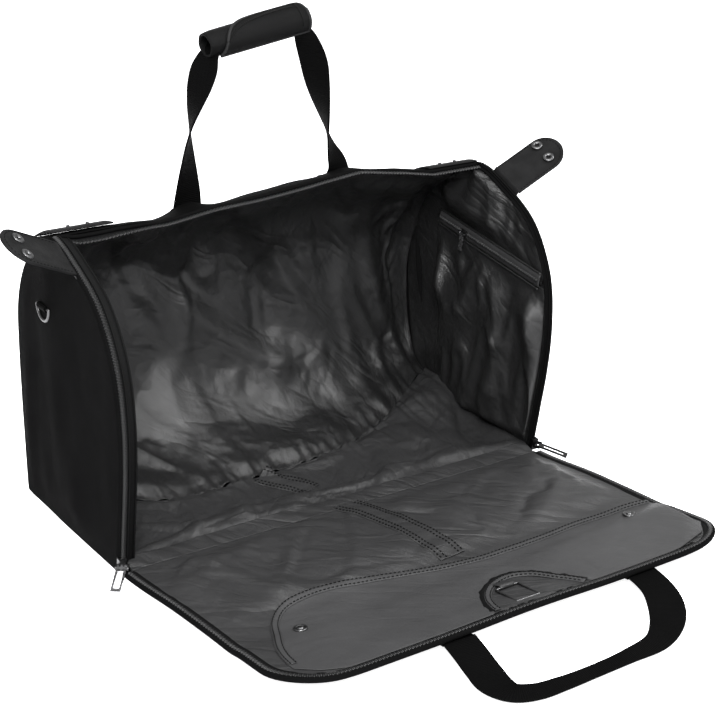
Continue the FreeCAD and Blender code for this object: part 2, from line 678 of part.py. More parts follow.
def flap_near():
    fold = FOLD_Y + FOLD_GAP
    save("flap_panel", box(-FLAP_HALF, FLAP_HALF, fold, FLAP_NEAR, 0, BASE_CLOTH))
    save("flap_stiffener", box(-FLAP_STIFFENER_HALF, FLAP_STIFFENER_HALF, fold, FLAP_STIFFENER_START,
                               FLAP_TAPE_Z, FLAP_TAPE_Z + STIFFENER))
    save("flap_lining", box(-FLAP_HALF, FLAP_HALF, fold, FLAP_NEAR, FLAP_LINING_Z, FLAP_LINING_Z + LINING))
    zip_y = (fold, FLAP_ZIP_START)
    save("flap_side_coils", *both_sides(FLAP_HALF + CLEAR, FLAP_COIL_HALF, *zip_y, *FLAP_COIL_Z))
    save("flap_side_tapes", *both_sides(FLAP_TAPE_HALF - FLAP_TAPE_WIDTH, FLAP_TAPE_HALF, *zip_y,
                                        FLAP_TAPE_Z, FLAP_TAPE_Z + TAPE))
    save("flap_stitched_band", plate(FLAP_BAND, POCKET_Z, POCKET_Z + PATCH))
    save("flap_pocket_hem", plate(POCKET_HEM, POCKET_Z, POCKET_Z + PATCH))


def flap_far():
    save("flap_end_panel", tilted(inset_outline(FLAP_HALF, 0, 0, BASE_CLOTH)))
    stiffener = inset_outline(FLAP_STIFFENER_HALF, FLAP_STIFFENER_INSET, FLAP_TAPE_Z, FLAP_TAPE_Z + STIFFENER)
    save("flap_end_stiffener", tilted(stiffener))
    save("flap_end_lining", tilted(inset_outline(FLAP_HALF, 0, FLAP_LINING_Z, FLAP_LINING_Z + LINING)))
    tape = end_outline(FLAP_TAPE_HALF, FLAP_EDGE + 0.4, FLAP_CORNER, FLAP_TAPE_Z, FLAP_TAPE_Z + TAPE)
    tape_hole = inset_outline(FLAP_TAPE_HALF - FLAP_TAPE_WIDTH, 12, 0, POCKET_Z)
    save("flap_end_tape", tilted(tape.cut(tape_hole)))
    coil = inset_outline(FLAP_COIL_HALF, FLAP_HALF - FLAP_COIL_HALF, *FLAP_COIL_Z)
    coil_hole = inset_outline(FLAP_HALF + CLEAR, -CLEAR, 0, POCKET_Z)
    save("flap_end_coil", tilted(coil.cut(coil_hole)))


def flap_pocket():
    """Slip pocket over the flap's far part, with a half-oval opening for the hanger ring."""
    sheet = plate(POCKET_FAR, POCKET_Z, POCKET_Z + PATCH)
    sheet = sheet.common(end_outline(POCKET_HALF, POCKET_EDGE, FLAP_CORNER - 6, 0, 2 * POCKET_Z))
    opening = Part.makeCylinder(NOTCH_RADIUS, 2 * POCKET_Z, V(NOTCH_X, POCKET_EDGE, 0))
    save("flap_pocket_panel", tilted(sheet.cut(opening)))
    snap_z = POCKET_Z + PATCH + CLEAR
    snaps = [rod(V(x, SNAP_Y, snap_z), V(x, SNAP_Y, snap_z + SNAP_HEIGHT), SNAP_RADIUS) for x in SNAP_X]
    save("pocket_snaps", *[tilted(snap) for snap in snaps])


def hanger_ring():
    left = NOTCH_X - HANG_HALF
    right = NOTCH_X + HANG_HALF
    corners = [V(left, HANG_BAR_Y, HANG_Z), V(right, HANG_BAR_Y, HANG_Z),
               V(right, HANG_FAR_Y, HANG_Z), V(left, HANG_FAR_Y, HANG_Z)]
    ring = Part.makeSphere(HANG_WIRE, corners[0])
    for start, end in zip(corners, corners[1:] + corners[:1]):
        ring = ring.fuse(rod(start, end, HANG_WIRE))
        ring = ring.fuse(Part.makeSphere(HANG_WIRE, start))
    save("hanger_ring", tilted(ring))


def hanger_ring_tab():
    bar = V(NOTCH_X, HANG_BAR_Y, HANG_Z)
    reach = V(HANG_TAB_HALF, 0, 0)
    sleeve = rod(bar - reach, bar + reach, HANG_SLEEVE)
    tab = box(NOTCH_X - HANG_TAB_HALF, NOTCH_X + HANG_TAB_HALF, HANG_BAR_Y, HANG_BAR_Y + HANG_TAB_LENGTH,
              POCKET_Z, POCKET_Z + LINING)
    bore = rod(bar - reach * 2, bar + reach * 2, HANG_BORE)
    save("hanger_ring_tab", tilted(sleeve.fuse(tab).cut(bore)))


os.makedirs("parts", exist_ok=True)
base()
back()
ends()
stud_patches()
handles()
grip()
snap_tabs()
strap_rings()
main_sliders()
end_pocket()
flap_near()
flap_far()
flap_pocket()
hanger_ring()
hanger_ring_tab()
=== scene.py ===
"""Looks for an open garment bag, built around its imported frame.

Metres, in the frame's own axes: X along the bag, -Y towards the opening, Z up.
"""
import json
import math

import bpy
import numpy as np
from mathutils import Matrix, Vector, noise
from mathutils.bvhtree import BVHTree


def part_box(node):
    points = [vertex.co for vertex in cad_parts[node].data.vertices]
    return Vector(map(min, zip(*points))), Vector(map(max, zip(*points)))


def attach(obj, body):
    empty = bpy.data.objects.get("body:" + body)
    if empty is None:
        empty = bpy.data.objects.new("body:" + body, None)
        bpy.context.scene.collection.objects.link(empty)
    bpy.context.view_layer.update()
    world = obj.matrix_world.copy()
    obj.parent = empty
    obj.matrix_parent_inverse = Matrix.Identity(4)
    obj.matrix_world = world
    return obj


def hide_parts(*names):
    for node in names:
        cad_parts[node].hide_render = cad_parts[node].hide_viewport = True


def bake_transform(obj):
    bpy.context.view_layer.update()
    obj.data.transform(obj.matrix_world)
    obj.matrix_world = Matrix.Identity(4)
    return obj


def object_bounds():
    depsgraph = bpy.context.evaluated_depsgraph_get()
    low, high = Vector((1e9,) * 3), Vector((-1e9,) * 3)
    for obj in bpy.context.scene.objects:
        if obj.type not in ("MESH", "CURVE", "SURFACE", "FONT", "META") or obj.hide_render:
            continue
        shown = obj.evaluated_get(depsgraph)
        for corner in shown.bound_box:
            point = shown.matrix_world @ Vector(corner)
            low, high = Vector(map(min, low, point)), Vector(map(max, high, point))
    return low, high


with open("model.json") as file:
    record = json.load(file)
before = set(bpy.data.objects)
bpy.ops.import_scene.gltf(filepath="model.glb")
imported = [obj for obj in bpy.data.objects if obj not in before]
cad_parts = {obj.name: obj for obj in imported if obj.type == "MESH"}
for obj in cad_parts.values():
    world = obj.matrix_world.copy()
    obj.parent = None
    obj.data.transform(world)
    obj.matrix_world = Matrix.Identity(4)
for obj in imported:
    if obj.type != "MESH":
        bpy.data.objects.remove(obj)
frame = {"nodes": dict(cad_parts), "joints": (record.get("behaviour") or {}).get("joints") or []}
CAD_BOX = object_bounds()
NODES = frame["nodes"]
JOINTS = {joint["name"]: joint for joint in frame["joints"]}

# ---- outline of the domed ends: half depth and height, up to the ridge ----
DOME_HALF = [(0.120, 0.0), (0.1302, 0.0575), (0.140, 0.115), (0.144, 0.165),
             (0.135, 0.234), (0.104, 0.285), (0.056, 0.315)]
RIDGE_HEIGHT = 0.334
END_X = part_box("right_end_panel")[1].x             # outer face of an end
FLOOR_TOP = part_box("floor_lining")[1].z
FLAP_HINGE_Y = JOINTS["flap_hinge"]["pos_m"][1]
FLAP_FOLD_Y = JOINTS["flap_fold"]["pos_m"][1]
FLAP_EDGE_Y = -0.4415
FLAP_HALF = 0.279                                  # the cloth flap reaches over the zips at its sides
FLAP_CORNER = 0.055
FLAP_TILT = math.radians(6)
LINING_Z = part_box("flap_lining")[1].z
WEB_WIDTH = 0.038
WEB = 0.0022                                       # thickness of webbing
THIN = 0.0008                                      # thickness of lining
LINING_HALF = 0.2735                               # half the width of the back's and the floor's linings
BACK_LINING_LENGTH = 0.42
ANCHOR_X = (-0.092, 0.100)                         # where the back handle's webbing is sewn down
FRONT_ANCHOR_X = (-0.078, 0.158)
SETTLE_FRAMES = 22


# ---- curves ----
def smooth(points, count):
    """A smooth curve through the points, sampled evenly along its length."""
    p = np.array(points, float)
    t = np.concatenate([[0], np.cumsum(np.linalg.norm(np.diff(p, axis=0), axis=1))])
    slope = np.gradient(p, t, axis=0, edge_order=2 if len(p) > 2 else 1)
    u = np.linspace(0, t[-1], 24 * len(p))
    i = np.clip(np.searchsorted(t, u, side="right") - 1, 0, len(t) - 2)
    h = (t[i + 1] - t[i])[:, None]
    f = (u - t[i])[:, None] / h
    dense = ((2 * f**3 - 3 * f**2 + 1) * p[i] + (f**3 - 2 * f**2 + f) * h * slope[i]
             + (3 * f**2 - 2 * f**3) * p[i + 1] + (f**3 - f**2) * h * slope[i + 1])
    return resampled(dense, count)


def resampled(points, count):
    """The same polyline with its points evenly spaced."""
    length = arc_lengths(points)
    even = np.linspace(0, length[-1], count)
    return np.stack([np.interp(even, length, points[:, k]) for k in range(points.shape[1])], axis=1)


def arc_lengths(points):
    return np.concatenate([[0], np.cumsum(np.linalg.norm(np.diff(points, axis=0), axis=1))])


def ease(value, start, end):
    """0 before start, 1 after end, and smooth between."""
    t = np.clip((np.asarray(value, float) - start) / (end - start), 0, 1)
    return t * t * (3 - 2 * t)


def clear_of(share, start, end):
    """1 inside a sheet, easing to 0 over a share at each of its two edges."""
    return ease(share, 0, start) * ease(1 - share, 0, end)


def down(rows):
    """Shares from 0 to 1 along a grid's rows."""
    return np.linspace(0, 1, rows)[:, None]


def over(columns):
    """Shares from 0 to 1 along a grid's columns."""
    return np.linspace(0, 1, columns)[None, :]


def bezier(p, count):
    """A cubic curve's points after its first, from four control points."""
    t = np.linspace(0, 1, count)[1:, None]
    return (1 - t)**3 * p[0] + 3 * (1 - t)**2 * t * p[1] + 3 * (1 - t) * t**2 * p[2] + t**3 * p[3]


def hump(value, centre, width):
    return np.exp(-((np.asarray(value, float) - centre) / width) ** 2)


def unit(vectors):
    return vectors / np.maximum(np.linalg.norm(vectors, axis=-1, keepdims=True), 1e-9)


DOME = smooth(DOME_HALF + [(0, RIDGE_HEIGHT)] + [(-y, z) for y, z in reversed(DOME_HALF)], 801)
DOME_AT = arc_lengths(DOME)
RIDGE = DOME_AT[-1] / 2


def dome(distance, inset=0.0):
    """Y and Z on the domed outline, measured from the back of the base, and moved inwards by an inset."""
    distance = np.asarray(distance, float)
    at, ahead, behind = [np.stack([np.interp(distance + step, DOME_AT, DOME[:, k]) for k in (0, 1)], axis=-1)
                         for step in (0, 0.002, -0.002)]
    along = unit(ahead - behind)
    inwards = np.stack([-along[..., 1], along[..., 0]], axis=-1)
    return at + inwards * np.asarray(inset, float)[..., None]


RIDGE_LIFT = [(-0.205, 0.0), (-0.15, -0.004), (-0.10, -0.001), (-0.05, 0.004), (0.05, 0.013), (0.10, 0.015),
              (0.16, 0.009), (0.205, 0.001)]


def settled(points):
    """How the soft body stands: its ridge pulled up by the handle, and its left back corner drawn in."""
    x, y, z = points[..., 0], points[..., 1], points[..., 2]
    lift = np.interp(x, *zip(*RIDGE_LIFT)) * ease(z, 0.24, 0.325)
    peaks = 0.011 * hump(x, -0.104, 0.020) + 0.005 * hump(x, 0.100, 0.022)
    lift = lift + peaks * hump(y, 0.036, 0.024) * ease(z, 0.27, 0.32)
    drawn = (1 - ease(x, -END_X, -0.12)) * ease(y, 0.0, 0.1)
    drawn = drawn * ease(z, -0.08, 0.2) * (1 - ease(z, 0.29, 0.333))
    return points + np.stack([0.008 * drawn, -0.020 * drawn, lift], axis=-1)


# ---- meshes ----
def mesh_piece(name, points, faces, uv=None):
    mesh = bpy.data.meshes.new(name)
    mesh.from_pydata([tuple(p) for p in points], [], [tuple(f) for f in faces])
    if uv is not None:
        layer = mesh.uv_layers.new(name="UVMap")
        loops = np.array([v for f in faces for v in f])
        layer.data.foreach_set("uv", np.asarray(uv, np.float32)[loops].ravel())
    mesh.shade_smooth()
    mesh.validate()
    piece = bpy.data.objects.new(name, mesh)
    bpy.context.scene.collection.objects.link(piece)
    return piece


def grid_faces(rows, columns, close=False):
    """Quads of a grid of points in row order; close joins its last column to its first."""
    faces = []
    for i in range(rows - 1):
        for j in range(columns if close else columns - 1):
            k = (j + 1) % columns
            faces.append((i * columns + j, i * columns + k, (i + 1) * columns + k, (i + 1) * columns + j))
    return faces


def grid_uv(points):
    """Texture coordinates in metres along the rows and columns of a grid."""
    rows, columns = points.shape[:2]
    along = np.array([arc_lengths(points[:, j]) for j in range(columns)]).T
    across = np.array([arc_lengths(points[i]) for i in range(rows)])
    return np.stack([across, along], axis=-1).reshape(-1, 2)


def grid_piece(name, points, close=False):
    points = np.asarray(points, float)
    rows, columns = points.shape[:2]
    return mesh_piece(name, points.reshape(-1, 3), grid_faces(rows, columns, close), grid_uv(points))


def coordinates(mesh):
    flat = np.zeros(len(mesh.vertices) * 3, np.float32)
    mesh.vertices.foreach_get("co", flat)
    return flat.reshape(-1, 3).astype(float)


def set_coordinates(mesh, points):
    mesh.vertices.foreach_set("co", np.asarray(points, np.float32).ravel())
    mesh.update()


def baked(piece):
    """Apply a piece's modifiers."""
    bpy.context.view_layer.update()
    evaluated = piece.evaluated_get(bpy.context.evaluated_depsgraph_get())
    mesh = bpy.data.meshes.new_from_object(evaluated)
    piece.modifiers.clear()
    piece.data = mesh
    return piece


def thickened(piece, thickness, offset=-1.0, levels=0):
    """Give a sheet its thickness, and round it with subdivision."""
    solidify = piece.modifiers.new("thickness", "SOLIDIFY")
    solidify.thickness = thickness
    solidify.offset = offset
    solidify.use_even_offset = False
    if levels:
        piece.modifiers.new("smooth", "SUBSURF").levels = levels
        piece.modifiers["smooth"].render_levels = levels
    return baked(piece)


def tube(name, path, radius, sides=10, flatten=1.0):
    """A round cord of thread, wire or piping along a path, with closed ends."""
    path = np.asarray(path, float)
    along = unit(np.gradient(path, axis=0))
    reference = np.array([0.31, 0.17, 0.94])
    normal = unit(np.cross(along, reference))
    binormal = np.cross(along, normal)
    angles = np.linspace(0, 2 * math.pi, sides, endpoint=False)
    ring = (np.cos(angles)[None, :, None] * normal[:, None] * radius
            + np.sin(angles)[None, :, None] * binormal[:, None] * radius * flatten)
    points = path[:, None] + ring
    rows = len(path)
    faces = grid_faces(rows, sides, close=True)
    faces += [tuple(range(sides))[::-1], tuple((rows - 1) * sides + j for j in range(sides))]
    return mesh_piece(name, points.reshape(-1, 3), faces, grid_uv(points))


def joined(name, pieces):
    """Several meshes as one piece."""
    for piece in pieces:
        piece.select_set(True)
    bpy.context.view_layer.objects.active = pieces[0]
    with bpy.context.temp_override(active_object=pieces[0], selected_editable_objects=pieces):
        bpy.ops.object.join()
    pieces[0].name = name
    pieces[0].select_set(False)
    return pieces[0]


# ---- materials ----
def grey(value):
    return (value, value, value * 1.02, 1)


class Finish:
    """Short-hand for one material's nodes."""

    def __init__(self, name, tone, roughness, specular=0.5, metallic=0.0):
        self.material = bpy.data.materials.new(name)
        self.material.use_nodes = True
        self.tree = self.material.node_tree
        self.shader = self.tree.nodes["Principled BSDF"]
        self.set(self.shader, "Base Color", grey(tone))
        self.set(self.shader, "Roughness", roughness)
        self.set(self.shader, "Specular IOR Level", specular)
        self.set(self.shader, "Metallic", metallic)
        self.height = None

    def set(self, node, name, value):
        node.inputs[name].default_value = value

    def node(self, kind, **inputs):
        made = self.tree.nodes.new(kind)
        for name, value in inputs.items():
            self.set(made, name.replace("_", " "), value)
        return made

    def link(self, source, target):
        self.tree.links.new(source, target)

    def coordinates(self, kind, scale, turn=0.0):
        """Texture coordinates, turned in their plane and then stretched by a scale along each axis."""
        source = self.tree.nodes.new("ShaderNodeTexCoord")
        turning = self.node("ShaderNodeMapping", Rotation=(0, 0, turn))
        mapping = self.node("ShaderNodeMapping", Scale=scale)
        self.link(source.outputs[kind], turning.inputs["Vector"])
        self.link(turning.outputs["Vector"], mapping.inputs["Vector"])
        return mapping.outputs["Vector"]

    def noise(self, kind, scale, detail=4.0, distortion=0.0, rough=0.5, turn=0.0):
        made = self.node("ShaderNodeTexNoise", Scale=1.0, Detail=detail, Distortion=distortion,
                         Roughness=rough)
        self.link(self.coordinates(kind, scale, turn), made.inputs["Vector"])
        return made.outputs["Fac"]

    def maths(self, operation, source, other=0.5):
        made = self.tree.nodes.new("ShaderNodeMath")
        made.operation = operation
        made.inputs[1].default_value = other
        self.link(source, made.inputs[0])
        return made.outputs[0]

    def creases(self, scale, turn):
        """Sharp lines, where a stretched noise passes its middle value."""
        offset = self.maths("SUBTRACT", self.noise("UV", scale, 2.0, 0.6, 0.5, turn))
        return self.maths("ABSOLUTE", offset)

    def wave(self, scale, direction, distortion=0.0):
        made = self.node("ShaderNodeTexWave", Scale=1.0, Distortion=distortion)
        made.bands_direction = direction
        self.link(self.coordinates("UV", scale), made.inputs["Vector"])
        return made.outputs["Fac"]

    def bump(self, source, strength, depth):
        """Add relief of a depth in metres; later calls lie on top of earlier ones."""
        made = self.node("ShaderNodeBump", Strength=strength, Distance=depth)
        self.link(source, made.inputs["Height"])
        if self.height is not None:
            self.link(self.height, made.inputs["Normal"])
        self.height = made.outputs["Normal"]
        self.link(self.height, self.shader.inputs["Normal"])

    def share(self, source):
        """A texture's middle range, as 0 to 1 unless the node is set otherwise."""
        made = self.node("ShaderNodeMapRange", From_Min=0.3, From_Max=0.7)
        self.link(source, made.inputs["Value"])
        return made

    def vary(self, source, target, low, high):
        """Drive a value of the shader by a texture."""
        made = self.share(source)
        self.set(made, "To Min", low)
        self.set(made, "To Max", high)
        self.link(made.outputs["Result"], self.shader.inputs[target])

    def tint(self, source, low, high):
        """Drive the shader's colour by a texture between two greys."""
        mix = self.tree.nodes.new("ShaderNodeMix")
        mix.data_type = "RGBA"
        mix.inputs[6].default_value = grey(low)
        mix.inputs[7].default_value = grey(high)
        self.link(self.share(source).outputs["Result"], mix.inputs[0])
        self.link(mix.outputs[2], self.shader.inputs["Base Color"])


def woven(name, tone, roughness, specular, thread, depth):
    """Cloth with a fine weave, and slow changes of tone over its surface."""
    made = Finish(name, tone, roughness, specular)
    for direction in "XY":
        made.bump(made.wave((thread, thread, 1), direction), 0.35, depth)
    made.tint(made.noise("Object", (22, 22, 22), 5), tone * 0.92, tone * 1.08)
    made.vary(made.noise("Object", (60, 60, 60), 3), "Roughness", roughness - 0.03, roughness + 0.03)
    return made


def satin(name, tone, roughness, specular, crease, streaks):
    """Thin shiny lining with faint creases."""
    made = woven(name, tone, roughness, specular, 700, 0.00012)
    made.bump(made.noise("Object", (38, 38, 38), 3, 1.4, 0.45), crease, 0.004)
    made.bump(made.creases((26, 8, 1), 0.9), 0.8 * streaks, 0.012)
    made.bump(made.creases((60, 22, 1), 0.5), 0.6 * streaks, 0.004)
    return made.material


def webbing(name):
    made = woven(name, 0.0011, 0.65, 0.012, 420, 0.00025)
    made.bump(made.wave((0, 150, 0), "Y"), 0.7, 0.0005)
    return made.material


def leather(name):
    made = Finish(name, 0.0045, 0.5, 0.03)
    pebble = made.node("ShaderNodeTexVoronoi", Scale=1.0)
    made.link(made.coordinates("Object", (900, 900, 900)), pebble.inputs["Vector"])
    made.bump(pebble.outputs["Distance"], 0.5, 0.0003)
    made.bump(made.noise("Object", (260, 260, 260), 4), 0.3, 0.0005)
    made.tint(made.noise("Object", (45, 45, 45), 4), 0.0035, 0.0065)
    made.vary(made.noise("Object", (120, 120, 120), 3), "Roughness", 0.42, 0.6)
    return made.material


def metal(name, tone, roughness):
    made = Finish(name, tone, roughness, metallic=1.0)
    made.vary(made.noise("Object", (300, 300, 300), 4), "Roughness", roughness - 0.06, roughness + 0.1)
    made.bump(made.noise("Object", (500, 500, 500), 2), 0.1, 0.0002)
    return made.material


def plain(name, tone, roughness, specular=0.3):
    made = Finish(name, tone, roughness, specular)
    made.tint(made.noise("Object", (400, 400, 400), 3), tone * 0.8, tone * 1.2)
    made.bump(made.noise("Object", (700, 700, 700), 2), 0.25, 0.0002)
    return made.material


SHELL = woven("shell_nylon", 0.0022, 0.7, 0.004, 620, 0.00018).material
# The piping's lighter, glossier cloth is a painted highlight along the grip flap's edge.
PIPING_PAINTED_HIGHLIGHT = woven("grip_piping_painted_highlight", 0.0075, 0.42, 0.06, 500, 0.0002).material
GRIP = woven("grip_cloth", 0.0024, 0.5, 0.03, 500, 0.00025).material
LINING = satin("lining_satin", 0.0056, 0.34, 0.34, 0.2, 0.5)
# The flap's, floor's and pocket's satin is the same lining as the back's, given lighter tones: painted light,
# where more light falls on them than inside the bag.
FLAP_LINING_PAINTED_LIGHT = satin("flap_lining_satin_painted_light", 0.0145, 0.36, 0.19, 0.18, 0.7)
FLOOR_LINING_PAINTED_LIGHT = satin("floor_lining_satin_painted_light", 0.0115, 0.36, 0.17, 0.20, 0.8)
POCKET_SATIN_PAINTED_LIGHT = satin("pocket_satin_painted_light", 0.0225, 0.38, 0.10, 0.14, 0.25)
WEBBING = webbing("webbing_ribbed")
TAPE = woven("zip_tape_cloth", 0.0026, 0.55, 0.03, 700, 0.00015).material
POCKET_TAPE = woven("pocket_zip_tape_cloth", 0.012, 0.5, 0.2, 500, 0.0002).material
RIBBED = webbing("ribbed_strip")
COIL = plain("zip_coil_nylon", 0.010, 0.4, 0.2)
THREAD = plain("stitching_thread", 0.0016, 0.6, 0.05)
LEATHER = leather("leather_grain")
GUNMETAL = metal("gunmetal", 0.065, 0.34)
DARKER_METAL = metal("darker_metal", 0.012, 0.42)
SILVER = metal("silver_metal", 0.42, 0.26)


def dress(piece, material, body=None, replaces=()):
    """Give a piece its material, its body, and the CAD nodes that it stands for."""
    piece.data.materials.clear()
    piece.data.materials.append(material)
    if body:
        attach(piece, body)
    if replaces:
        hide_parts(*replaces)
    return piece


# ---- cloth ----
def relief(points, scale, seed, stretch=(1.0, 1.0, 1.0)):
    """Smooth seeded noise at points, about -0.5 to 0.5."""
    shift = Vector((seed * 7.13, seed * 3.71, seed * 5.39))
    flat = points.reshape(-1, 3) * np.array(stretch) * scale
    made = [noise.noise(Vector(p) + shift) for p in flat]
    return np.array(made).reshape(points.shape[:-1])


def grid_normals(points):
    return unit(np.cross(np.gradient(points, axis=0), np.gradient(points, axis=1)))


def folded(points, amount, scale, seed, turn=0.0, stretch=4.0):
    """Long soft folds over a grid, in a direction turned from the grid's rows."""
    rows, columns = points.shape[:2]
    uv = grid_uv(points).reshape(rows, columns, 2)
    c, s = math.cos(turn), math.sin(turn)
    across = uv[..., 0] * c + uv[..., 1] * s
    along = uv[..., 1] * c - uv[..., 0] * s
    field = np.stack([across, along / stretch, np.zeros_like(across)], axis=-1)
    wave = relief(field, scale, seed)
    sharp = 1 - 2 * np.abs(wave) / 0.5
    height = amount * np.maximum(0.6 * wave + 0.4 * (sharp - 0.5) + 0.3, 0)
    return points + grid_normals(points) * height[..., None]


def border_pins(rows, columns, width):
    """Pin weights that hold a sheet at its four edges, fading inwards over a share of it."""
    v = down(rows)
    u = over(columns)
    edge = np.minimum(np.minimum(u, 1 - u), np.minimum(v, 1 - v))
    return 1 - ease(edge, 0, width)


TURNED_BACK = 1.9                                  # 2 would mirror what buckled outwards


def slack(piece, pins, growth, cap, inward, bending=0.12):
    """Let cloth that is a little too big for its seams buckle, to one side of where it was sewn."""
    rest = coordinates(piece.data)
    group = piece.vertex_groups.new(name="seams")
    for index, weight in enumerate(pins.ravel()):
        group.add([index], float(weight), "REPLACE")
    cloth = piece.modifiers.new("Cloth", "CLOTH")
    settings = cloth.settings
    settings.quality = 6
    settings.mass = 0.12
    settings.tension_stiffness = 18
    settings.compression_stiffness = 18
    settings.shear_stiffness = 6
    settings.bending_stiffness = bending
    settings.shrink_min = -growth
    settings.vertex_group_mass = "seams"
    settings.effector_weights.gravity = 0.0
    cloth.collision_settings.use_collision = False
    cloth.point_cache.frame_end = SETTLE_FRAMES
    for step in range(1, SETTLE_FRAMES + 1):
        bpy.context.scene.frame_set(step)
    baked(piece)
    moved = coordinates(piece.data) - rest
    inward = inward.reshape(-1, 3)
    behind = np.minimum((moved * inward).sum(axis=1, keepdims=True), 0)
    moved -= TURNED_BACK * behind * inward
    size = np.linalg.norm(moved, axis=1, keepdims=True)
    set_coordinates(piece.data, rest + moved * np.tanh(size / cap) * cap / np.maximum(size, 1e-9))
    bpy.context.scene.frame_set(1)
    return piece


STITCH_FACES = [(0, 1, 5, 4), (1, 2, 6, 5), (2, 3, 7, 6), (3, 0, 4, 7), (3, 2, 1, 0), (4, 5, 6, 7)]


def stitches(name, path, length=0.0036, gap=0.0012, radius=0.0005):
    """A row of thread stitches along a path."""
    path = np.asarray(path, float)
    at = arc_lengths(path)
    points = []
    faces = []
    for start in np.arange(0, at[-1] - length, length + gap):
        ends = [np.array([np.interp(d, at, path[:, k]) for k in range(3)]) for d in (start, start + length)]
        faces += [tuple(len(points) + i for i in f) for f in STITCH_FACES]
        points += stitch_box(*ends, radius)
    return mesh_piece(name, points, faces)


def stitch_box(start, end, radius):
    along = unit(end - start)
    side = unit(np.cross(along, [0.13, 0.21, 0.97]))
    up = np.cross(side, along)
    inset = along * radius
    around = [side * radius + up * radius, up * radius - side * radius,
              -side * radius - up * radius, side * radius - up * radius]
    return [start + inset + a * 0.6 for a in around] + [end - inset + a for a in around]


# ---- bag body ----
SEAM = [(-0.274, 0.058), (-0.240, 0.030), (-0.207, 0.012), (-0.160, -0.016), (-0.119, -0.020),
        (-0.046, -0.018), (0.058, -0.006), (0.120, 0.012), (0.175, 0.034), (0.230, 0.066), (0.274, 0.094)]
HINGE_RIDGE = [(-0.274, -0.116), (-0.243, -0.110), (-0.187, -0.100), (-0.140, -0.094), (-0.049, -0.092),
               (0.029, -0.100), (0.134, -0.097), (0.174, -0.100), (0.251, -0.110), (0.274, -0.116)]


def along_x(points, x):
    """Y of a line drawn in plan, at each X."""
    line = smooth(points, 200)
    return np.interp(x, line[:, 0], line[:, 1])


def seam_rise(x):
    """How far the inner right corner is lifted off the floor."""
    return 0.030 * ease(x, 0.10, 0.275)


def ridge_sag(x):
    """How far the zip at the ridge hangs below it: beside the left patch, and up at the handle's roots."""
    dip = 0.007 * ease(x, -0.276, -0.245) * (1 - ease(x, -0.232, -0.15))
    return dip - 0.003 * hump(x, 0.1, 0.04) - 0.003 * hump(x, -0.09, 0.04)


def back_lining_points(rows, columns):
    """The back's lining: down the back wall from the ridge, then forwards along the floor to its seam."""
    x = np.linspace(-LINING_HALF, LINING_HALF, columns)
    top = RIDGE - 0.010
    wall = np.linspace(top, 0.150, 40)
    lines = []
    for place, seam in zip(x, along_x(SEAM, x)):
        upper = dome(wall, 0.0045)
        start = upper[-1]
        foot = FLOOR_TOP + 0.002 + float(seam_rise(place))
        bend = [0.55 * start[0] + 0.45 * seam, foot + 0.001]
        lower = bezier(np.array([start, start * [0.97, 0.35], bend, [seam, foot]]), 30)
        line = resampled(np.concatenate([upper, lower]), rows)
        lines.append(np.column_stack([np.full(rows, place), line]))
    points = np.array(lines).transpose(1, 0, 2)
    height = ease(points[..., 2], 0.26, 0.334)
    points[..., 2] -= ridge_sag(points[..., 0]) * height
    return points


def puckers(points, line, amount, reach, seed):
    """Short gathers square to a seam, given as each point's distance from it."""
    x = points[..., 0]
    field = np.stack([x, np.zeros_like(x), np.zeros_like(x)], axis=-1)
    gather = relief(field, 95, seed) + 0.6 * relief(field, 210, seed + 1)
    return amount * gather * np.exp(-line / reach)


def back_lining():
    rows, columns = 84, 132
    points = back_lining_points(rows, columns)
    v = down(rows)
    free = clear_of(v, 0.10, 0.06)
    base = points.copy()
    points = folded(points, 0.020, 9, 3, turn=-0.55, stretch=3.2)
    points = folded(points, 0.008, 22, 8, turn=-0.35, stretch=4)
    points = base + (points - base) * free[..., None]
    gathers = puckers(points, (1 - v) * BACK_LINING_LENGTH, 0.009, 0.028, 11)
    points += grid_normals(points) * np.abs(gathers)[..., None]
    points = settled(points)
    piece = grid_piece("back_lining_cloth", points)
    slack(piece, border_pins(rows, columns, 0.05), 0.035, 0.012, grid_normals(base))
    thickened(piece, THIN, 0.0, 1)
    dress(piece, LINING, "bag_body", ["back_lining"])


def floor_points(rows, columns):
    """The floor's lining, from the flap's hinge to the seam with the back's lining."""
    x = np.linspace(-LINING_HALF, LINING_HALF, columns)
    near = FLAP_HINGE_Y + 0.004
    far = along_x(SEAM, x)
    v = down(rows)
    y = near * (1 - v) + far * v
    ridge = 0.004 * hump(y, along_x(HINGE_RIDGE, x)[None] + 0.002, 0.007)
    return np.stack([np.broadcast_to(x, y.shape), y, FLOOR_TOP + 0.0012 + ridge], axis=-1)


def floor_lining():
    rows, columns = 40, 132
    points = floor_points(rows, columns)
    v = down(rows)
    x = points[..., 0]
    points[..., 2] += seam_rise(x) * ease(v, 0.3, 1.0)
    points[..., 2] += np.abs(puckers(points, (1 - v) * 0.1, 0.012, 0.02, 21))
    lifted = folded(points[::-1], 0.012, 15, 5, turn=0.9, stretch=2.6)[::-1]
    points = points + (lifted - points) * clear_of(v, 0.15, 0.15)[..., None]
    points[..., 2] = np.maximum(points[..., 2], FLOOR_TOP + 0.0004)
    piece = grid_piece("floor_lining_cloth", points)
    slack(piece, border_pins(rows, columns, 0.08), 0.03, 0.006, -grid_normals(points))
    thickened(piece, THIN, 1.0, 1)
    surface = surface_of(piece)
    dress(piece, FLOOR_LINING_PAINTED_LIGHT, "bag_body", ["floor_lining"])
    x = np.linspace(-0.272, 0.272, 200)
    seam = np.column_stack([x, along_x(SEAM, x) - 0.001, FLOOR_TOP + 0.0020 + seam_rise(x)])
    dress(tube("floor_seam_roll", seam, 0.0021), FLOOR_LINING_PAINTED_LIGHT, "bag_body", ())
    return surface


def surface_of(piece):
    """What other pieces are laid on."""
    return BVHTree.FromObject(piece, bpy.context.evaluated_depsgraph_get())


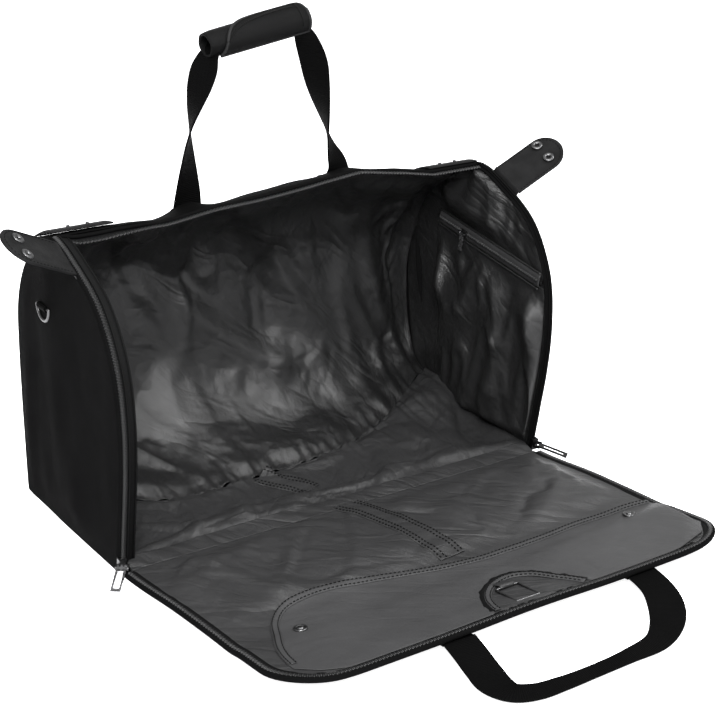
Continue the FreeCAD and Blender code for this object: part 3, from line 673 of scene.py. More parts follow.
def laid_on(points, surface, gap):
    """Points let down on to a surface from above, and kept a gap over it."""
    made = np.array(points, float)
    flat = made.reshape(-1, 3)
    for point in flat:
        hit = surface.ray_cast(Vector((point[0], point[1], 0.2)), Vector((0, 0, -1)))[0]
        if hit is None:
            hit = surface.find_nearest(Vector((point[0], point[1], 0.02)))[0]
        point[2] = hit.z + gap
    return made


def square_grid(side, x, inset, floor, rows, columns):
    """A domed sheet as rows from the floor to the ridge, each across the dome's width."""
    levels = np.linspace(0, 1, rows)
    front = dome(np.linspace(DOME_AT[-1], RIDGE + 0.001, 200), inset)
    back = dome(np.linspace(0, RIDGE - 0.001, 200), inset)
    top = min(front[-1, 1], back[-1, 1])
    points = []
    for level in levels:
        z = floor + (top - floor) * math.sin(level * math.pi / 2)
        y0 = np.interp(z, front[:, 1], front[:, 0])
        y1 = np.interp(z, back[:, 1], back[:, 0])
        y = np.linspace(y0, y1, columns)
        points.append(np.column_stack([np.full(columns, side * x), y, np.full(columns, z)]))
    points = np.array(points)
    return points if side < 0 else points[:, ::-1]


def end_panel(side, name):
    """The padded outer cloth of an end, soft towards its foot."""
    rows, columns = 70, 64
    points = square_grid(side, END_X - 0.0004, 0.0, 0.0, rows, columns)
    u = over(columns)
    v = down(rows)
    free = clear_of(u, 0.12, 0.12) * clear_of(v, 0.08, 0.2) * (1 - ease(v, 0.45, 0.75))
    folds = 0.007 * relief(points, 9, 31 + side, (1, 1, 0.45))
    folds = folds + 0.003 * relief(points, 24, 35 + side, (1, 1, 0.5))
    points[..., 0] += side * (0.004 + folds) * free
    piece = grid_piece(name + "_end_cloth", settled(points))
    thickened(piece, 0.003, -1.0, 1)
    dress(piece, SHELL, "bag_body", [name + "_end_panel"])


ZIP_BACK = np.array([0.066, 0.254])
ZIP_FRONT = np.array([-0.129, 0.221])
POCKET_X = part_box("end_pocket_tape")[0].x


def zip_height(y):
    """Height of the end pocket's zip at each Y."""
    return ZIP_BACK[1] + (y - ZIP_BACK[0]) * (ZIP_BACK - ZIP_FRONT)[1] / (ZIP_BACK - ZIP_FRONT)[0]


def end_lining(side, name):
    """An end's lining, gathered below the ridge, and flat where the pocket lies on it."""
    rows, columns = 70, 60
    points = square_grid(-side, END_X - 0.0048, 0.0055, FLOOR_TOP + 0.001, rows, columns)
    points[..., 0] *= -1                           # the other end's grid, so that it faces inwards
    u = over(columns)
    v = down(rows)
    free = clear_of(u, 0.08, 0.08) * clear_of(v, 0.06, 0.1)
    tall = 0.6 - 2 * np.abs(relief(points, 15, 41 + side, (1, 1, 0.28)))
    tall = tall + 0.5 * relief(points, 42, 44 + side, (1, 1, 0.3))
    gathers = relief(points, 120, 47, (1, 1, 0.1)) * ease(v, 0.72, 0.95) * ease(1 - v, 0, 0.06)
    clear = ease(points[..., 2] - zip_height(points[..., 1]), 0.010, 0.035) if side > 0 else 1.0
    points[..., 0] -= side * (0.014 * (tall + 0.35) * free * clear + 0.004 * gathers)
    piece = grid_piece(name + "_end_lining_cloth", settled(points))
    inward = np.tile([-side, 0.0, 0.0], (rows * columns, 1))
    cap = 0.0006 + 0.006 * (clear * np.ones((rows, columns))).reshape(-1, 1)
    slack(piece, border_pins(rows, columns, 0.06), 0.03, cap, inward)
    clamp_x(piece, side, END_X - 0.0042)
    thickened(piece, 0.0006, 0.0, 1)
    dress(piece, LINING, "bag_body", [name + "_end_lining"])


def clamp_x(piece, side, limit):
    """Keep a lining on the inner side of its panel."""
    points = coordinates(piece.data)
    points[:, 0] = side * np.minimum(side * points[:, 0], limit)
    set_coordinates(piece.data, points)


def corner_opening():
    """Narrow gap in the seam between the back's lining and the right end's."""
    z = np.linspace(0.139, 0.229, 40)
    path = np.column_stack([np.full(40, 0.2560), 0.059 + 0.155 * z, z])
    width = np.sin(np.linspace(0.02, math.pi - 0.02, 40)) * 0.0026
    grid = np.stack([path + np.outer(width, [t, -t * 0.8, 0]) for t in (-1, -0.4, 0.4, 1)], axis=1)
    piece = grid_piece("corner_seam_opening", grid)
    thickened(piece, 0.0005, 0.0)
    dress(piece, SHELL, "bag_body")


def back_shell():
    """The back's padded cloth, from the base over to the ridge. Gives the surface that webbing lies on."""
    rows, columns = 70, 96
    s = np.linspace(0, RIDGE - 0.002, rows)[:, None]
    x = np.linspace(-END_X + 0.0005, END_X - 0.0005, columns)[None, :]
    yz = dome(np.broadcast_to(s, (rows, columns)), 0.0)
    points = np.concatenate([np.broadcast_to(x, (rows, columns))[..., None], yz], axis=-1)
    free = clear_of(over(columns), 0.08, 0.08) * ease(s, 0, 0.05) * (1 - ease(s, RIDGE - 0.06, RIDGE - 0.02))
    soft = 0.006 * (relief(points, 7, 61) + 0.5) + 0.002 * relief(points, 22, 64)
    outward = unit(points * [0, 1, 1] - [0, 0, 0.12])
    points += outward * (soft * free)[..., None]
    piece = grid_piece("back_cloth", settled(points)[:, ::-1])
    thickened(piece, 0.0028, -1.0, 1)
    surface = surface_of(piece)
    dress(piece, SHELL, "bag_body", ["back_panel"])
    return surface


def rounded_rectangle(half, radius, count):
    """A rectangle's outline about the origin, with round corners."""
    quarter = np.linspace(0, math.pi / 2, 8)
    points = []
    for turn, signs in enumerate(((1, 1), (-1, 1), (-1, -1), (1, -1))):
        corner = (np.array(half) - radius) * signs
        angles = quarter + turn * math.pi / 2
        points += list(corner + radius * np.column_stack([np.cos(angles), np.sin(angles)]))
    return resampled(np.array(points + points[:1]), count + 1)[:-1]


BASE_SECTION = [(0.006, 0.0), (0.0016, 0.04), (0.0, 0.25), (0.0002, 0.6), (0.0012, 0.9), (0.005, 1.0)]


def base_cloth():
    """The base: cloth drawn over a board, with piping round its foot."""
    low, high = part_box("base_panel")
    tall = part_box("base_board")[1].z - low.z
    middle = np.array([0.0, (low.y + high.y) / 2])
    half = np.array([END_X - 0.001, (high.y - low.y) / 2])
    count = 240
    rings = []
    for inset, share in BASE_SECTION:
        outline = rounded_rectangle(half - inset, 0.010, count) + middle
        rings.append(np.column_stack([outline, np.full(count, low.z + tall * share)]))
    points = np.array(rings)
    points[1:-1, :, 1] += 0.0008 * relief(points[1:-1], 14, 131)
    faces = grid_faces(len(rings), count, close=True)
    faces += [tuple(range(count))[::-1], tuple((len(rings) - 1) * count + j for j in range(count))]
    piece = mesh_piece("base_cloth", points.reshape(-1, 3), faces, grid_uv(points))
    dress(piece, SHELL, "bag_body", ["base_panel", "base_board"])
    foot = points[2] - [0, 0, 0.0004]
    dress(tube("base_piping", np.concatenate([foot, foot[:2]]), 0.0013), SHELL, "bag_body", ())


# ---- zips ----
def dome_path(spans, x, inset, count):
    """Points along the domed outline at one X."""
    yz = dome(np.linspace(spans[0], spans[1], count), inset)
    return np.column_stack([np.full(count, x), yz])


def teeth(name, path, normal, width, pitch, size):
    """Two rows of coil turns along a path: short bars across it, side by side."""
    at = arc_lengths(path)
    along = unit(np.gradient(path, axis=0))
    points = []
    faces = []
    for n, distance in enumerate(np.arange(pitch, at[-1] - pitch, pitch)):
        centre = np.array([np.interp(distance, at, path[:, k]) for k in range(3)])
        ahead = unit(np.array([np.interp(distance, at, along[:, k]) for k in range(3)]))
        up = unit(np.array([np.interp(distance, at, normal[:, k]) for k in range(3)]))
        side = np.cross(ahead, up)
        shift = side * width * 0.12 * (1 if n % 2 else -1)
        start = centre + shift - side * width / 2
        end = centre + shift + side * width / 2
        base = len(points)
        for end_point in (start, end):
            points += [end_point + ahead * size * 0.5 * a + up * size * b
                       for a, b in ((-1, -0.1), (1, -0.1), (0.6, 0.9), (-0.6, 0.9))]
        faces += [tuple(base + i for i in f) for f in STITCH_FACES]
    return mesh_piece(name, points, faces)


def band(name, path_outer, path_inner, material, nodes=(), thickness=0.0008):
    """A flat tape between two paths."""
    count = 5
    t = np.linspace(0, 1, count)[None, :, None]
    points = path_outer[:, None] * (1 - t) + path_inner[:, None] * t
    piece = grid_piece(name, points)
    thickened(piece, thickness, 0.0)
    return dress(piece, material, "bag_body", nodes)


# The right zip's tape and coil take the dark shell cloth and thread instead of the tape and coil materials:
# painted shade, keeping that zip dark where the lamps light it.
SIDE_ZIPS = ((-1, "left", 0.0075, 0.0185, (TAPE, COIL)), (1, "right", 0.0032, 0.0068, (SHELL, THREAD)))


def side_zip(side, name, coil_reach, reach, finishes):
    """The zip band up the front edge of an end: edge roll, coil, and tape."""
    cloth, coil_finish = finishes
    span = (RIDGE + 0.004, DOME_AT[-1] - 0.003)
    count = 150
    outer = dome_path(span, side * (END_X + 0.0004), -0.0006, count)
    middle = dome_path(span, side * (END_X - coil_reach), -0.0004, count)
    inner = dome_path(span, side * (END_X - reach), 0.003, count)
    tape = band(name + "_side_zip_tape", outer, inner, cloth)
    yz = dome(np.linspace(*span, count), 1.0) - dome(np.linspace(*span, count), 0.0)
    outward = np.column_stack([np.zeros(count), -yz])
    roll = tube(name + "_side_zip_edge", dome_path(span, side * (END_X - 0.0002), 0.0002, count), 0.0017)
    dress(roll, SHELL, "bag_body", ())
    coil_path = (outer * 0.48 + middle * 0.52) + outward * 0.0006
    coil = teeth(name + "_side_zip_coil", coil_path, outward, 0.6 * coil_reach, 0.0016, 0.0011)
    dress(coil, coil_finish, "bag_body", ())
    fold = tube(name + "_side_zip_fold", middle * 0.82 + inner * 0.18 + outward * 0.0004, 0.0011, flatten=0.8)
    dress(fold, cloth, "bag_body", ())
    seam = tube(name + "_side_zip_seam", inner + outward * 0.0002, 0.0010)
    dress(seam, cloth, "bag_body", ())
    return tape


def side_zips():
    tapes = [side_zip(*zip_side) for zip_side in SIDE_ZIPS]
    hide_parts("side_zip_tapes", "side_zip_coils")


def ridge_line(inset, forward, hanging=1.0, count=140):
    """Points along the ridge, hanging where its zip hangs."""
    x = np.linspace(-0.2745, 0.2745, count)
    yz = dome(np.full(count, RIDGE + forward), inset)
    points = np.column_stack([x, yz])
    points[:, 2] -= ridge_sag(x) * hanging
    return settled(points)


def ridge_zip():
    back_edge = ridge_line(0.0005, -0.008, 0.0)
    front_edge = ridge_line(0.0036, 0.006)
    tape = band("ridge_zip_tape", back_edge, front_edge, TAPE, ["top_zip_tape"])
    line = ridge_line(0.0026, 0.0078)
    up = np.tile([0.0, -0.25, 0.97], (len(line), 1))
    coil = teeth("ridge_zip_coil", line, up, 0.0046, 0.0021, 0.0016)
    dress(coil, COIL, "bag_body", ["top_zip_coil"])
    roll = tube("ridge_roll", ridge_line(0.0008, 0.0005, 0.5), 0.0022)
    dress(roll, SHELL, "bag_body", ())


def top_strip():
    """Ribbed strip behind the ridge."""
    rows, columns = 10, 140
    x = np.linspace(-0.205, 0.276, columns)[None, :]
    s = np.linspace(RIDGE - 0.030, RIDGE - 0.001, rows)[:, None]
    yz = dome(np.broadcast_to(s, (rows, columns)), -0.0008)
    points = np.concatenate([np.broadcast_to(x, (rows, columns))[..., None], yz], axis=-1)
    points[..., 2] -= 0.0012 * (1 - ease(x, -0.205, -0.18))
    piece = grid_piece("ribbed_top_strip", settled(points)[:, ::-1])
    thickened(piece, 0.0014, -1.0)
    dress(piece, RIBBED, "bag_body", ["top_strip"])


# ---- webbing ----
def strap(name, stations, count, thickness=WEB):
    """Webbing through stations of centre, direction across and width, with rounded selvedges."""
    data = np.array([list(c) + list(unit(np.array(a, float)) * 0.02) + [w * 0.1] for c, a, w in stations])
    t = arc_lengths(data[:, :3])
    fine = smooth(data, count)
    centre, across, width = fine[:, :3], unit(fine[:, 3:6]), fine[:, 6] * 10
    along = unit(np.gradient(centre, axis=0))
    across = unit(across - along * (across * along).sum(axis=1, keepdims=True))
    normal = np.cross(along, across)
    profile = section_profile()
    points = (centre[:, None] + across[:, None] * profile[None, :, :1] * width[:, None, None]
              + normal[:, None] * profile[None, :, 1:] * thickness)
    rows, columns = points.shape[:2]
    faces = grid_faces(rows, columns, close=True)
    faces += [tuple(range(columns))[::-1], tuple((rows - 1) * columns + j for j in range(columns))]
    u = np.broadcast_to(profile[None, :, 0] * WEB_WIDTH, (rows, columns))
    v = np.broadcast_to(np.linspace(0, 1, rows)[:, None] * t[-1], (rows, columns))
    uv = np.stack([u, v], axis=-1).reshape(-1, 2)
    return mesh_piece(name, points.reshape(-1, 3), faces, uv)


def section_profile():
    """Half-width and half-thickness shares round a strap's cross-section, thin in the middle."""
    across = np.array([-0.5, -0.485, -0.44, -0.3, -0.1, 0.1, 0.3, 0.44, 0.485, 0.5])
    half = np.array([0.0, 0.42, 0.5, 0.44, 0.42, 0.42, 0.44, 0.5, 0.42, 0.0])
    upper = np.column_stack([across, half])
    lower = np.column_stack([across[1:-1][::-1], -half[1:-1][::-1]])
    return np.concatenate([upper, lower])


def turned(degrees):
    angle = math.radians(degrees)
    return (math.cos(angle), math.sin(angle), 0.0)


GRIP_LEFT = np.array([-0.070, 0.040, 0.502])
GRIP_RIGHT = np.array([0.054, 0.040, 0.521])
GRIP_ALONG = unit(GRIP_RIGHT - GRIP_LEFT)


def back_handle():
    """The back carry handle: each leg turns a quarter on its way up to the grip."""
    inside = 0.024
    stations = [((-0.0970, 0.043, 0.327), turned(6), WEB_WIDTH),
                ((-0.0963, 0.042, 0.341), turned(14), WEB_WIDTH),
                ((-0.0960, 0.041, 0.356), turned(24), WEB_WIDTH),
                ((-0.0950, 0.040, 0.380), turned(40), WEB_WIDTH),
                ((-0.0930, 0.040, 0.402), turned(54), WEB_WIDTH),
                ((-0.0895, 0.040, 0.422), turned(69), WEB_WIDTH),
                ((-0.0840, 0.040, 0.442), turned(88), WEB_WIDTH),
                ((-0.0775, 0.040, 0.461), turned(106), WEB_WIDTH),
                ((-0.071, 0.040, 0.478), turned(112), 0.037),
                ((-0.064, 0.040, 0.493), turned(104), 0.030),
                (GRIP_LEFT + GRIP_ALONG * 0.018, turned(92), inside),
                (GRIP_LEFT + GRIP_ALONG * 0.034, turned(90), inside),
                (GRIP_RIGHT - GRIP_ALONG * 0.030, turned(90), inside),
                (GRIP_RIGHT - GRIP_ALONG * 0.012, turned(92), inside),
                ((0.0530, 0.040, 0.509), turned(104), 0.030),
                ((0.0620, 0.040, 0.490), turned(112), 0.037),
                ((0.0685, 0.040, 0.471), turned(116), WEB_WIDTH),
                ((0.0725, 0.040, 0.450), turned(108), WEB_WIDTH),
                ((0.0765, 0.040, 0.430), turned(94), WEB_WIDTH),
                ((0.0810, 0.040, 0.410), turned(78), WEB_WIDTH),
                ((0.0860, 0.040, 0.388), turned(60), WEB_WIDTH),
                ((0.0920, 0.040, 0.366), turned(42), WEB_WIDTH),
                ((0.0985, 0.041, 0.350), turned(24), WEB_WIDTH),
                ((0.1010, 0.043, 0.338), turned(9), WEB_WIDTH)]
    piece = strap("back_handle_strap", stations, 220)
    dress(piece, WEBBING, "back_handle", ["back_handle_webbing"])


def laid_against(path, surface, gap):
    """Points let on to the back's cloth from behind, and kept a gap off it."""
    made = []
    for point in settled(path):
        outward = unit(point * [0, 1, 1] - [0, 0, 0.12])
        hit = surface.ray_cast(Vector(point + outward * 0.04), Vector(-outward))[0]
        made.append(point if hit is None else np.array(hit) + outward * gap)
    return np.array(made)


ANCHOR_SPAN = (RIDGE - 0.202, RIDGE - 0.056)
ANCHOR_ROWS = (RIDGE - 0.198, RIDGE - 0.060)


def handle_anchors(shell):
    """Webbing sewn down the back, with its rows of stitching."""
    straps = []
    rows = []
    for n, x in enumerate(ANCHOR_X):
        path = laid_against(dome_path(ANCHOR_SPAN, x, 0.0, 24), shell, 0.0010)
        stations = [(p, (1, 0, 0), WEB_WIDTH) for p in path]
        straps.append(strap("anchor_%d" % n, stations, 60, 0.0018))
        for edge in (-0.015, 0.015):
            line = laid_against(dome_path(ANCHOR_ROWS, x + edge, 0.0, 60), shell, 0.0021)
            rows.append(stitches("anchor_stitch_%d" % len(rows), line))
    piece = joined("back_handle_anchor_straps", straps)
    dress(piece, WEBBING, "bag_body", ["back_handle_anchors"])
    dress(joined("anchor_stitching", rows), THREAD, "bag_body")


def grip_frame(distance, angle, radius):
    """A point about the grip's middle line; angles run from the front over the top."""
    up = unit(np.cross(GRIP_ALONG, [0, 1, 0]))
    centre = GRIP_LEFT + GRIP_ALONG * distance
    return centre + np.array([0, -1, 0]) * radius * math.cos(angle) + up * radius * math.sin(angle)


GRIP_LENGTH = float(np.linalg.norm(GRIP_RIGHT - GRIP_LEFT))


def grip_pad():
    """Padded sleeve about the webbing, open at its ends."""
    rows, columns = 34, 40
    points = []
    for d in np.linspace(0, GRIP_LENGTH, rows):
        end = min(d, GRIP_LENGTH - d)
        swell = 0.0152 + 0.0014 * float(ease(end, 0, 0.012))
        ring = []
        for a in np.linspace(0, 2 * math.pi, columns, endpoint=False):
            quilt = 0.0003 * math.sin(6 * a + 40 * d)
            squash = 1 - 0.12 * abs(math.sin(a))
            ring.append(grip_frame(d, a, (swell + quilt) * squash))
        points.append(ring)
    piece = grid_piece("grip_padding", points, close=True)
    thickened(piece, 0.0034, 1.0, 1)
    dress(piece, GRIP, "back_handle", ["grip_pad"])


# distance along the grip, and angle round it in degrees
GRIP_FLAP_EDGE = [(0.012, -46), (0.017, -18), (0.021, 15), (0.028, 45), (0.038, 70), (0.053, 90),
                  (0.072, 103), (0.095, 108), (0.110, 105), (0.118, 92), (0.1225, 66), (0.1245, 30)]


def grip_flap():
    """The grip's closing flap: its piped edge sweeps up from the left over the top."""
    rows, columns = 48, 26
    edge = smooth(np.array(GRIP_FLAP_EDGE) * [1, 0.001], 200) * [1, 1000]
    start = math.radians(-48)
    points = []
    distances = np.linspace(edge[0, 0], GRIP_LENGTH - 0.001, rows)
    for d in distances:
        end = math.radians(np.interp(d, edge[:, 0], edge[:, 1]))
        points.append([grip_frame(d, a, 0.0184 * (1 - 0.10 * abs(math.sin(a))))
                       for a in np.linspace(start, end, columns)])
    piece = grid_piece("grip_closing_flap", points)
    thickened(piece, 0.0020, 0.0, 1)
    dress(piece, GRIP, "grip_flap", ["grip_flap"])
    rim = [line[-1] for line in points] + points[-1][::-1] + [line[0] for line in points[::-1]]
    # The piping's lighter cloth is a painted highlight.
    piping = tube("grip_flap_piping", resampled(np.array(rim), 200), 0.0019)
    dress(piping, PIPING_PAINTED_HIGHLIGHT, "grip_flap", ())
    outside = [[p + unit(p - grip_frame(d, 0, 0)) * 0.0011 for p in line]
               for d, line in zip(distances, points)]
    # Two dark thread-coloured cords run inside the piping. The further one stands for the stitching, and both
    # darken the grooves there as painted shade.
    grooves = []
    for back, radius in ((-3, 0.0007), (-7, 0.0009)):
        path = [line[back] for line in outside[2:-5]] + [outside[-5][k] for k in range(columns + back, 5, -1)]
        grooves.append(tube("groove", resampled(np.array(path), 160), radius, sides=6))
    dress(joined("grip_flap_stitch_and_shade_lines", grooves), THREAD, "grip_flap")


def front_handle():
    """The front carry handle, its webbing folded along the middle where a hand holds it."""
    stations = [((-0.078, -0.4400, 0.0128), (1, 0, 0), WEB_WIDTH),
                ((-0.081, -0.462, 0.0095), (1, 0, 0), WEB_WIDTH),
                ((-0.086, -0.490, 0.0055), (1, 0.08, 0), WEB_WIDTH),
                ((-0.090, -0.512, 0.0045), (1, 0.25, 0), 0.037),
                ((-0.085, -0.531, 0.0045), (0.8, 0.9, 0), 0.031),
                ((-0.066, -0.542, 0.0050), (0.25, 1, 0.1), 0.023),
                ((-0.040, -0.546, 0.0060), (0.05, 1, 0.2), 0.018),
                ((0.0, -0.547, 0.0065), (0, 1, 0.3), 0.015),
                ((0.045, -0.545, 0.0065), (0, 1, 0.3), 0.017),
                ((0.085, -0.540, 0.0060), (-0.15, 1, 0.15), 0.025),
                ((0.112, -0.525, 0.0055), (-0.65, 0.75, 0), 0.033),
                ((0.137, -0.500, 0.0070), (-0.85, 0.5, 0), WEB_WIDTH),
                ((0.154, -0.470, 0.0090), (-1, 0.15, 0), WEB_WIDTH),
                ((0.158, -0.4400, 0.0128), (-1, 0, 0), WEB_WIDTH)]
    piece = strap("front_handle_strap", stations, 220)
    dress(piece, WEBBING, "front_handle", ["front_handle_webbing"])


def front_anchors():
    """Webbing sewn under the flap's far edge, where the front handle starts."""
    low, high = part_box("front_handle_anchors")
    straps = []
    for n, x in enumerate(FRONT_ANCHOR_X):
        ends = [(low.y, high.z - 0.0014), (high.y, low.z + 0.001)]
        stations = [((x, y, z), (1, 0, 0), WEB_WIDTH) for y, z in ends]
        straps.append(strap("front_anchor_%d" % n, stations, 24, 0.0018))
    piece = joined("front_handle_anchor_straps", straps)
    dress(piece, WEBBING, "flap_end", ["front_handle_anchors"])


# ---- front flap ----
def tilt(points):
    """Raise the flap's far part about its fold, as it rests."""
    pivot_y, pivot_z = FLAP_FOLD_Y, JOINTS["flap_fold"]["pos_m"][2]
    beyond = np.maximum(pivot_y - points[..., 1], 0)
    angle = FLAP_TILT * ease(beyond, 0, 0.03)
    made = points.copy()
    c, s = np.cos(angle), np.sin(angle)
    dy, dz = points[..., 1] - pivot_y, points[..., 2] - pivot_z
    far = points[..., 1] < pivot_y
    made[..., 1] = np.where(far, pivot_y + dy * c + dz * s, points[..., 1])
    made[..., 2] = np.where(far, pivot_z + dz * c - dy * s, points[..., 2])
    return made


def flap_half_width(y, half, edge, corner):
    """Half width of the flap at each Y, narrowing round its far corners."""
    into = np.clip(edge + corner - y, 0, corner)
    return half - corner + np.sqrt(np.maximum(corner**2 - into**2, 0))


def flap_grid(rows, columns, half, edge, corner, z, near):
    share = np.linspace(0, 1, rows)
    y = near + (edge - near) * share
    y[-8:] = edge + (y[-9] - edge) * (1 - np.sin(np.linspace(0, math.pi / 2, 9)[1:]))
    width = flap_half_width(y, half, edge, corner)
    u = np.linspace(-1, 1, columns)
    x = width[:, None] * u[None]
    return np.stack([x, np.broadcast_to(y[:, None], x.shape), np.full_like(x, z)], axis=-1)


FLAP_DRIFT = 0.014                                 # the open flap lies a little to the right


def curl(points):
    """The far edge lifts a little, and the soft sides lift and drift to the right."""
    lift = 0.004 * ease(-points[..., 1], 0.38, 0.445)
    sides = 0.005 * ease(abs(points[..., 0]), 0.2, 0.28) * ease(-points[..., 1], 0.13, 0.24)
    points[..., 2] += lift * (0.6 + 0.8 * relief(points * [1, 0, 0], 7, 71)) + sides
    return points


def drifted(points):
    points[..., 0] += FLAP_DRIFT * ease(-points[..., 1], 0.12, 0.36)
    return points


def as_laid(points):
    """Flap points drawn flat, as the flap lies open."""
    return drifted(curl(tilt(points)))


def cross_fold(piece):
    """Bake a flap piece's placement into its mesh."""
    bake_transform(piece)


def flap_outer():
    points = flap_grid(74, 96, FLAP_HALF, FLAP_EDGE_Y, FLAP_CORNER, 0.0012, FLAP_HINGE_Y - 0.001)
    piece = grid_piece("flap_outer_cloth", as_laid(points))
    thickened(piece, 0.0022, 0.0, 1)
    nodes = ["flap_panel", "flap_end_panel", "flap_stiffener", "flap_end_stiffener"]
    dress(piece, SHELL, None, nodes)
    cross_fold(piece)


FLAP_FOLDS = [((-0.212, -0.145), (-0.178, -0.285), 0.0055, 0.010),
              ((-0.190, -0.150), (-0.158, -0.285), 0.0035, 0.014)]


def ridge_between(points, start, end, width):
    """1 along a line drawn in plan between two places, fading off it and towards its ends."""
    start, end = np.array(start), np.array(end)
    along = unit(end - start)
    away = points[..., :2] - start
    share = (away @ along) / np.linalg.norm(end - start)
    off = away @ np.array([-along[1], along[0]])
    return hump(off, 0, width) * ease(share, -0.1, 0.25) * (1 - ease(share, 0.75, 1.1))


def flap_lining():
    rows, columns = 76, 132
    near = FLAP_HINGE_Y - 0.004
    half, edge, corner = FLAP_HALF - 0.007, FLAP_EDGE_Y + 0.006, FLAP_CORNER - 0.006
    points = flap_grid(rows, columns, half, edge, corner, LINING_Z, near)
    share = down(rows)
    points[..., 2] += (FLOOR_TOP - LINING_Z) * (1 - ease(share, 0, 0.08))
    for start, end, height, width in FLAP_FOLDS:
        points[..., 2] += height * ridge_between(points, start, end, width)
    lifted = folded(points, 0.013, 6.5, 81, turn=0.95, stretch=3.5)
    lifted = folded(lifted, 0.006, 15, 84, turn=0.7, stretch=3.5)
    u = over(columns)
    free = ease(share, 0.02, 0.12) * ease(1 - share, 0, 0.1) * ease(u, 0, 0.06) * ease(1 - u, 0, 0.06)
    loose = 1 - 0.9 * ease(-points[..., 1], 0.265, 0.300)
    free = free * loose
    points[..., 2] += np.maximum((lifted - points)[..., 2], -0.0008) * free
    piece = grid_piece("flap_lining_cloth", as_laid(points))
    upward = np.tile([0.0, 0.0, 1.0], (rows * columns, 1))
    cap = 0.0002 + 0.004 * loose.reshape(-1, 1)
    slack(piece, border_pins(rows, columns, 0.05), 0.02, cap, upward, bending=0.5)
    thickened(piece, THIN, 1.0, 1)
    dress(piece, FLAP_LINING_PAINTED_LIGHT, None, ["flap_lining", "flap_end_lining"])
    surface = surface_of(piece)
    cross_fold(piece)
    return surface


HINGE_SECTION = [(0.011, 0.0003), (0.007, 0.0009), (-0.007, 0.0009), (-0.011, 0.0003)]


def hinge_strip(floor_surface, flap_surface):
    """Soft strip of lining that bends where the floor meets the flap."""
    x = np.linspace(-0.2715, 0.2715, 260)
    lines = []
    for forward, lift in HINGE_SECTION:
        plan = np.column_stack([x, np.full(len(x), FLAP_HINGE_Y + forward)])
        lines.append(on_plan(plan, floor_surface if forward > 0 else flap_surface, lift))
    lines.insert(2, (lines[1] + lines[2]) / 2 + [0, 0, 0.0008])
    piece = grid_piece("hinge_strip_cloth", np.stack(lines))
    thickened(piece, 0.0007, 0.0, 1)
    dress(piece, FLOOR_LINING_PAINTED_LIGHT, None, ())
    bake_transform(piece)


def flap_edge_path(half, edge, corner, count, start_y):
    """Round the flap from its left side, along its far edge, to its right side."""
    angles = np.linspace(0, math.pi / 2, 14)
    left = [(-half, y) for y in np.linspace(start_y, edge + corner, 30)]
    left += [(-half + corner - corner * math.cos(a), edge + corner - corner * math.sin(a))
             for a in angles[1:]]
    right = [(-x, y) for x, y in reversed(left)]
    plan = np.array(left + right)
    return resampled(np.column_stack([plan, np.zeros(len(plan))]), count)


def flap_zip():
    """Zip round the flap's edge: tape, coil and edge roll."""
    count = 420
    start = FLAP_HINGE_Y - 0.012
    edge = flap_edge_path(FLAP_HALF, FLAP_EDGE_Y, FLAP_CORNER, count, start)
    inner = flap_edge_path(FLAP_HALF - 0.010, FLAP_EDGE_Y + 0.010, FLAP_CORNER - 0.008, count, start)
    tape = np.stack([edge * (1 - t) + inner * t for t in np.linspace(0, 1, 4)])
    tape[..., 2] = 0.0046
    piece = grid_piece("flap_zip_tape", as_laid(tape))
    thickened(piece, 0.0012, 0.0)
    dress(piece, TAPE, None, ["flap_side_tapes", "flap_end_tape"])
    cross_fold(piece)
    roll_path = edge.copy()
    roll_path[:, 2] = 0.0028
    roll = tube("flap_edge_roll", as_laid(roll_path), 0.0026, flatten=1.2)
    dress(roll, SHELL, None, ())
    cross_fold(roll)
    coil_path = edge * 0.75 + inner * 0.25
    coil_path[:, 2] = 0.0053
    up = np.tile([0.0, 0.0, 1.0], (count, 1))
    coil = teeth("flap_zip_coil", as_laid(coil_path), up, 0.0042, 0.0021, 0.0015)
    dress(coil, COIL, None, ["flap_side_coils", "flap_end_coil"])
    cross_fold(coil)


POCKET_HEM = [(-0.243, -0.400), (-0.236, -0.365), (-0.222, -0.335), (-0.208, -0.308), (-0.190, -0.290),
              (-0.150, -0.280), (-0.081, -0.287), (0.016, -0.309), (0.101, -0.313), (0.200, -0.308),
              (0.283, -0.316)]
NOTCH = [(-0.026, -0.437), (-0.021, -0.412), (-0.006, -0.387), (0.015, -0.371), (0.043, -0.365),
         (0.063, -0.375), (0.080, -0.402), (0.097, -0.437)]
POCKET_FAR = [(-0.243, -0.408), (-0.225, -0.425), (-0.200, -0.4345), (0.220, -0.4345), (0.262, -0.424),
              (0.284, -0.400)]
POCKET_Z = LINING_Z + 0.0014


def pocket_grid(hem, notch, rows, columns):
    """The pocket's cloth from its hem to its far edge, cut away for the opening."""
    x = np.linspace(hem[0, 0], hem[-1, 0], columns)
    top = np.interp(x, hem[:, 0], hem[:, 1])
    far = np.interp(x, *zip(*POCKET_FAR))
    inside = (x > notch[0, 0]) & (x < notch[-1, 0])
    far = np.where(inside, np.maximum(far, np.interp(x, notch[:, 0], notch[:, 1])), far)
    top = np.maximum(top, far + 0.002)
    v = down(rows)
    y = top[None] * (1 - v) + far[None] * v
    grid = np.stack([np.broadcast_to(x, y.shape), y, np.full_like(y, POCKET_Z)], axis=-1)
    wrinkle = folded(grid, 0.007, 9, 91, turn=0.9, stretch=3)
    free = ease(v, 0.03, 0.3) * ease(1 - v, 0.03, 0.3)
    grid[..., 2] += np.maximum((wrinkle - grid)[..., 2] + 0.0006, 0) * free
    mouth = np.exp(-(top[None] - y) / 0.02) * (0.001 + 0.0018 * relief(grid, 30, 94, (1, 0, 0)))
    grid[..., 2] += np.maximum(mouth, 0)
    return curl(tilt(grid))


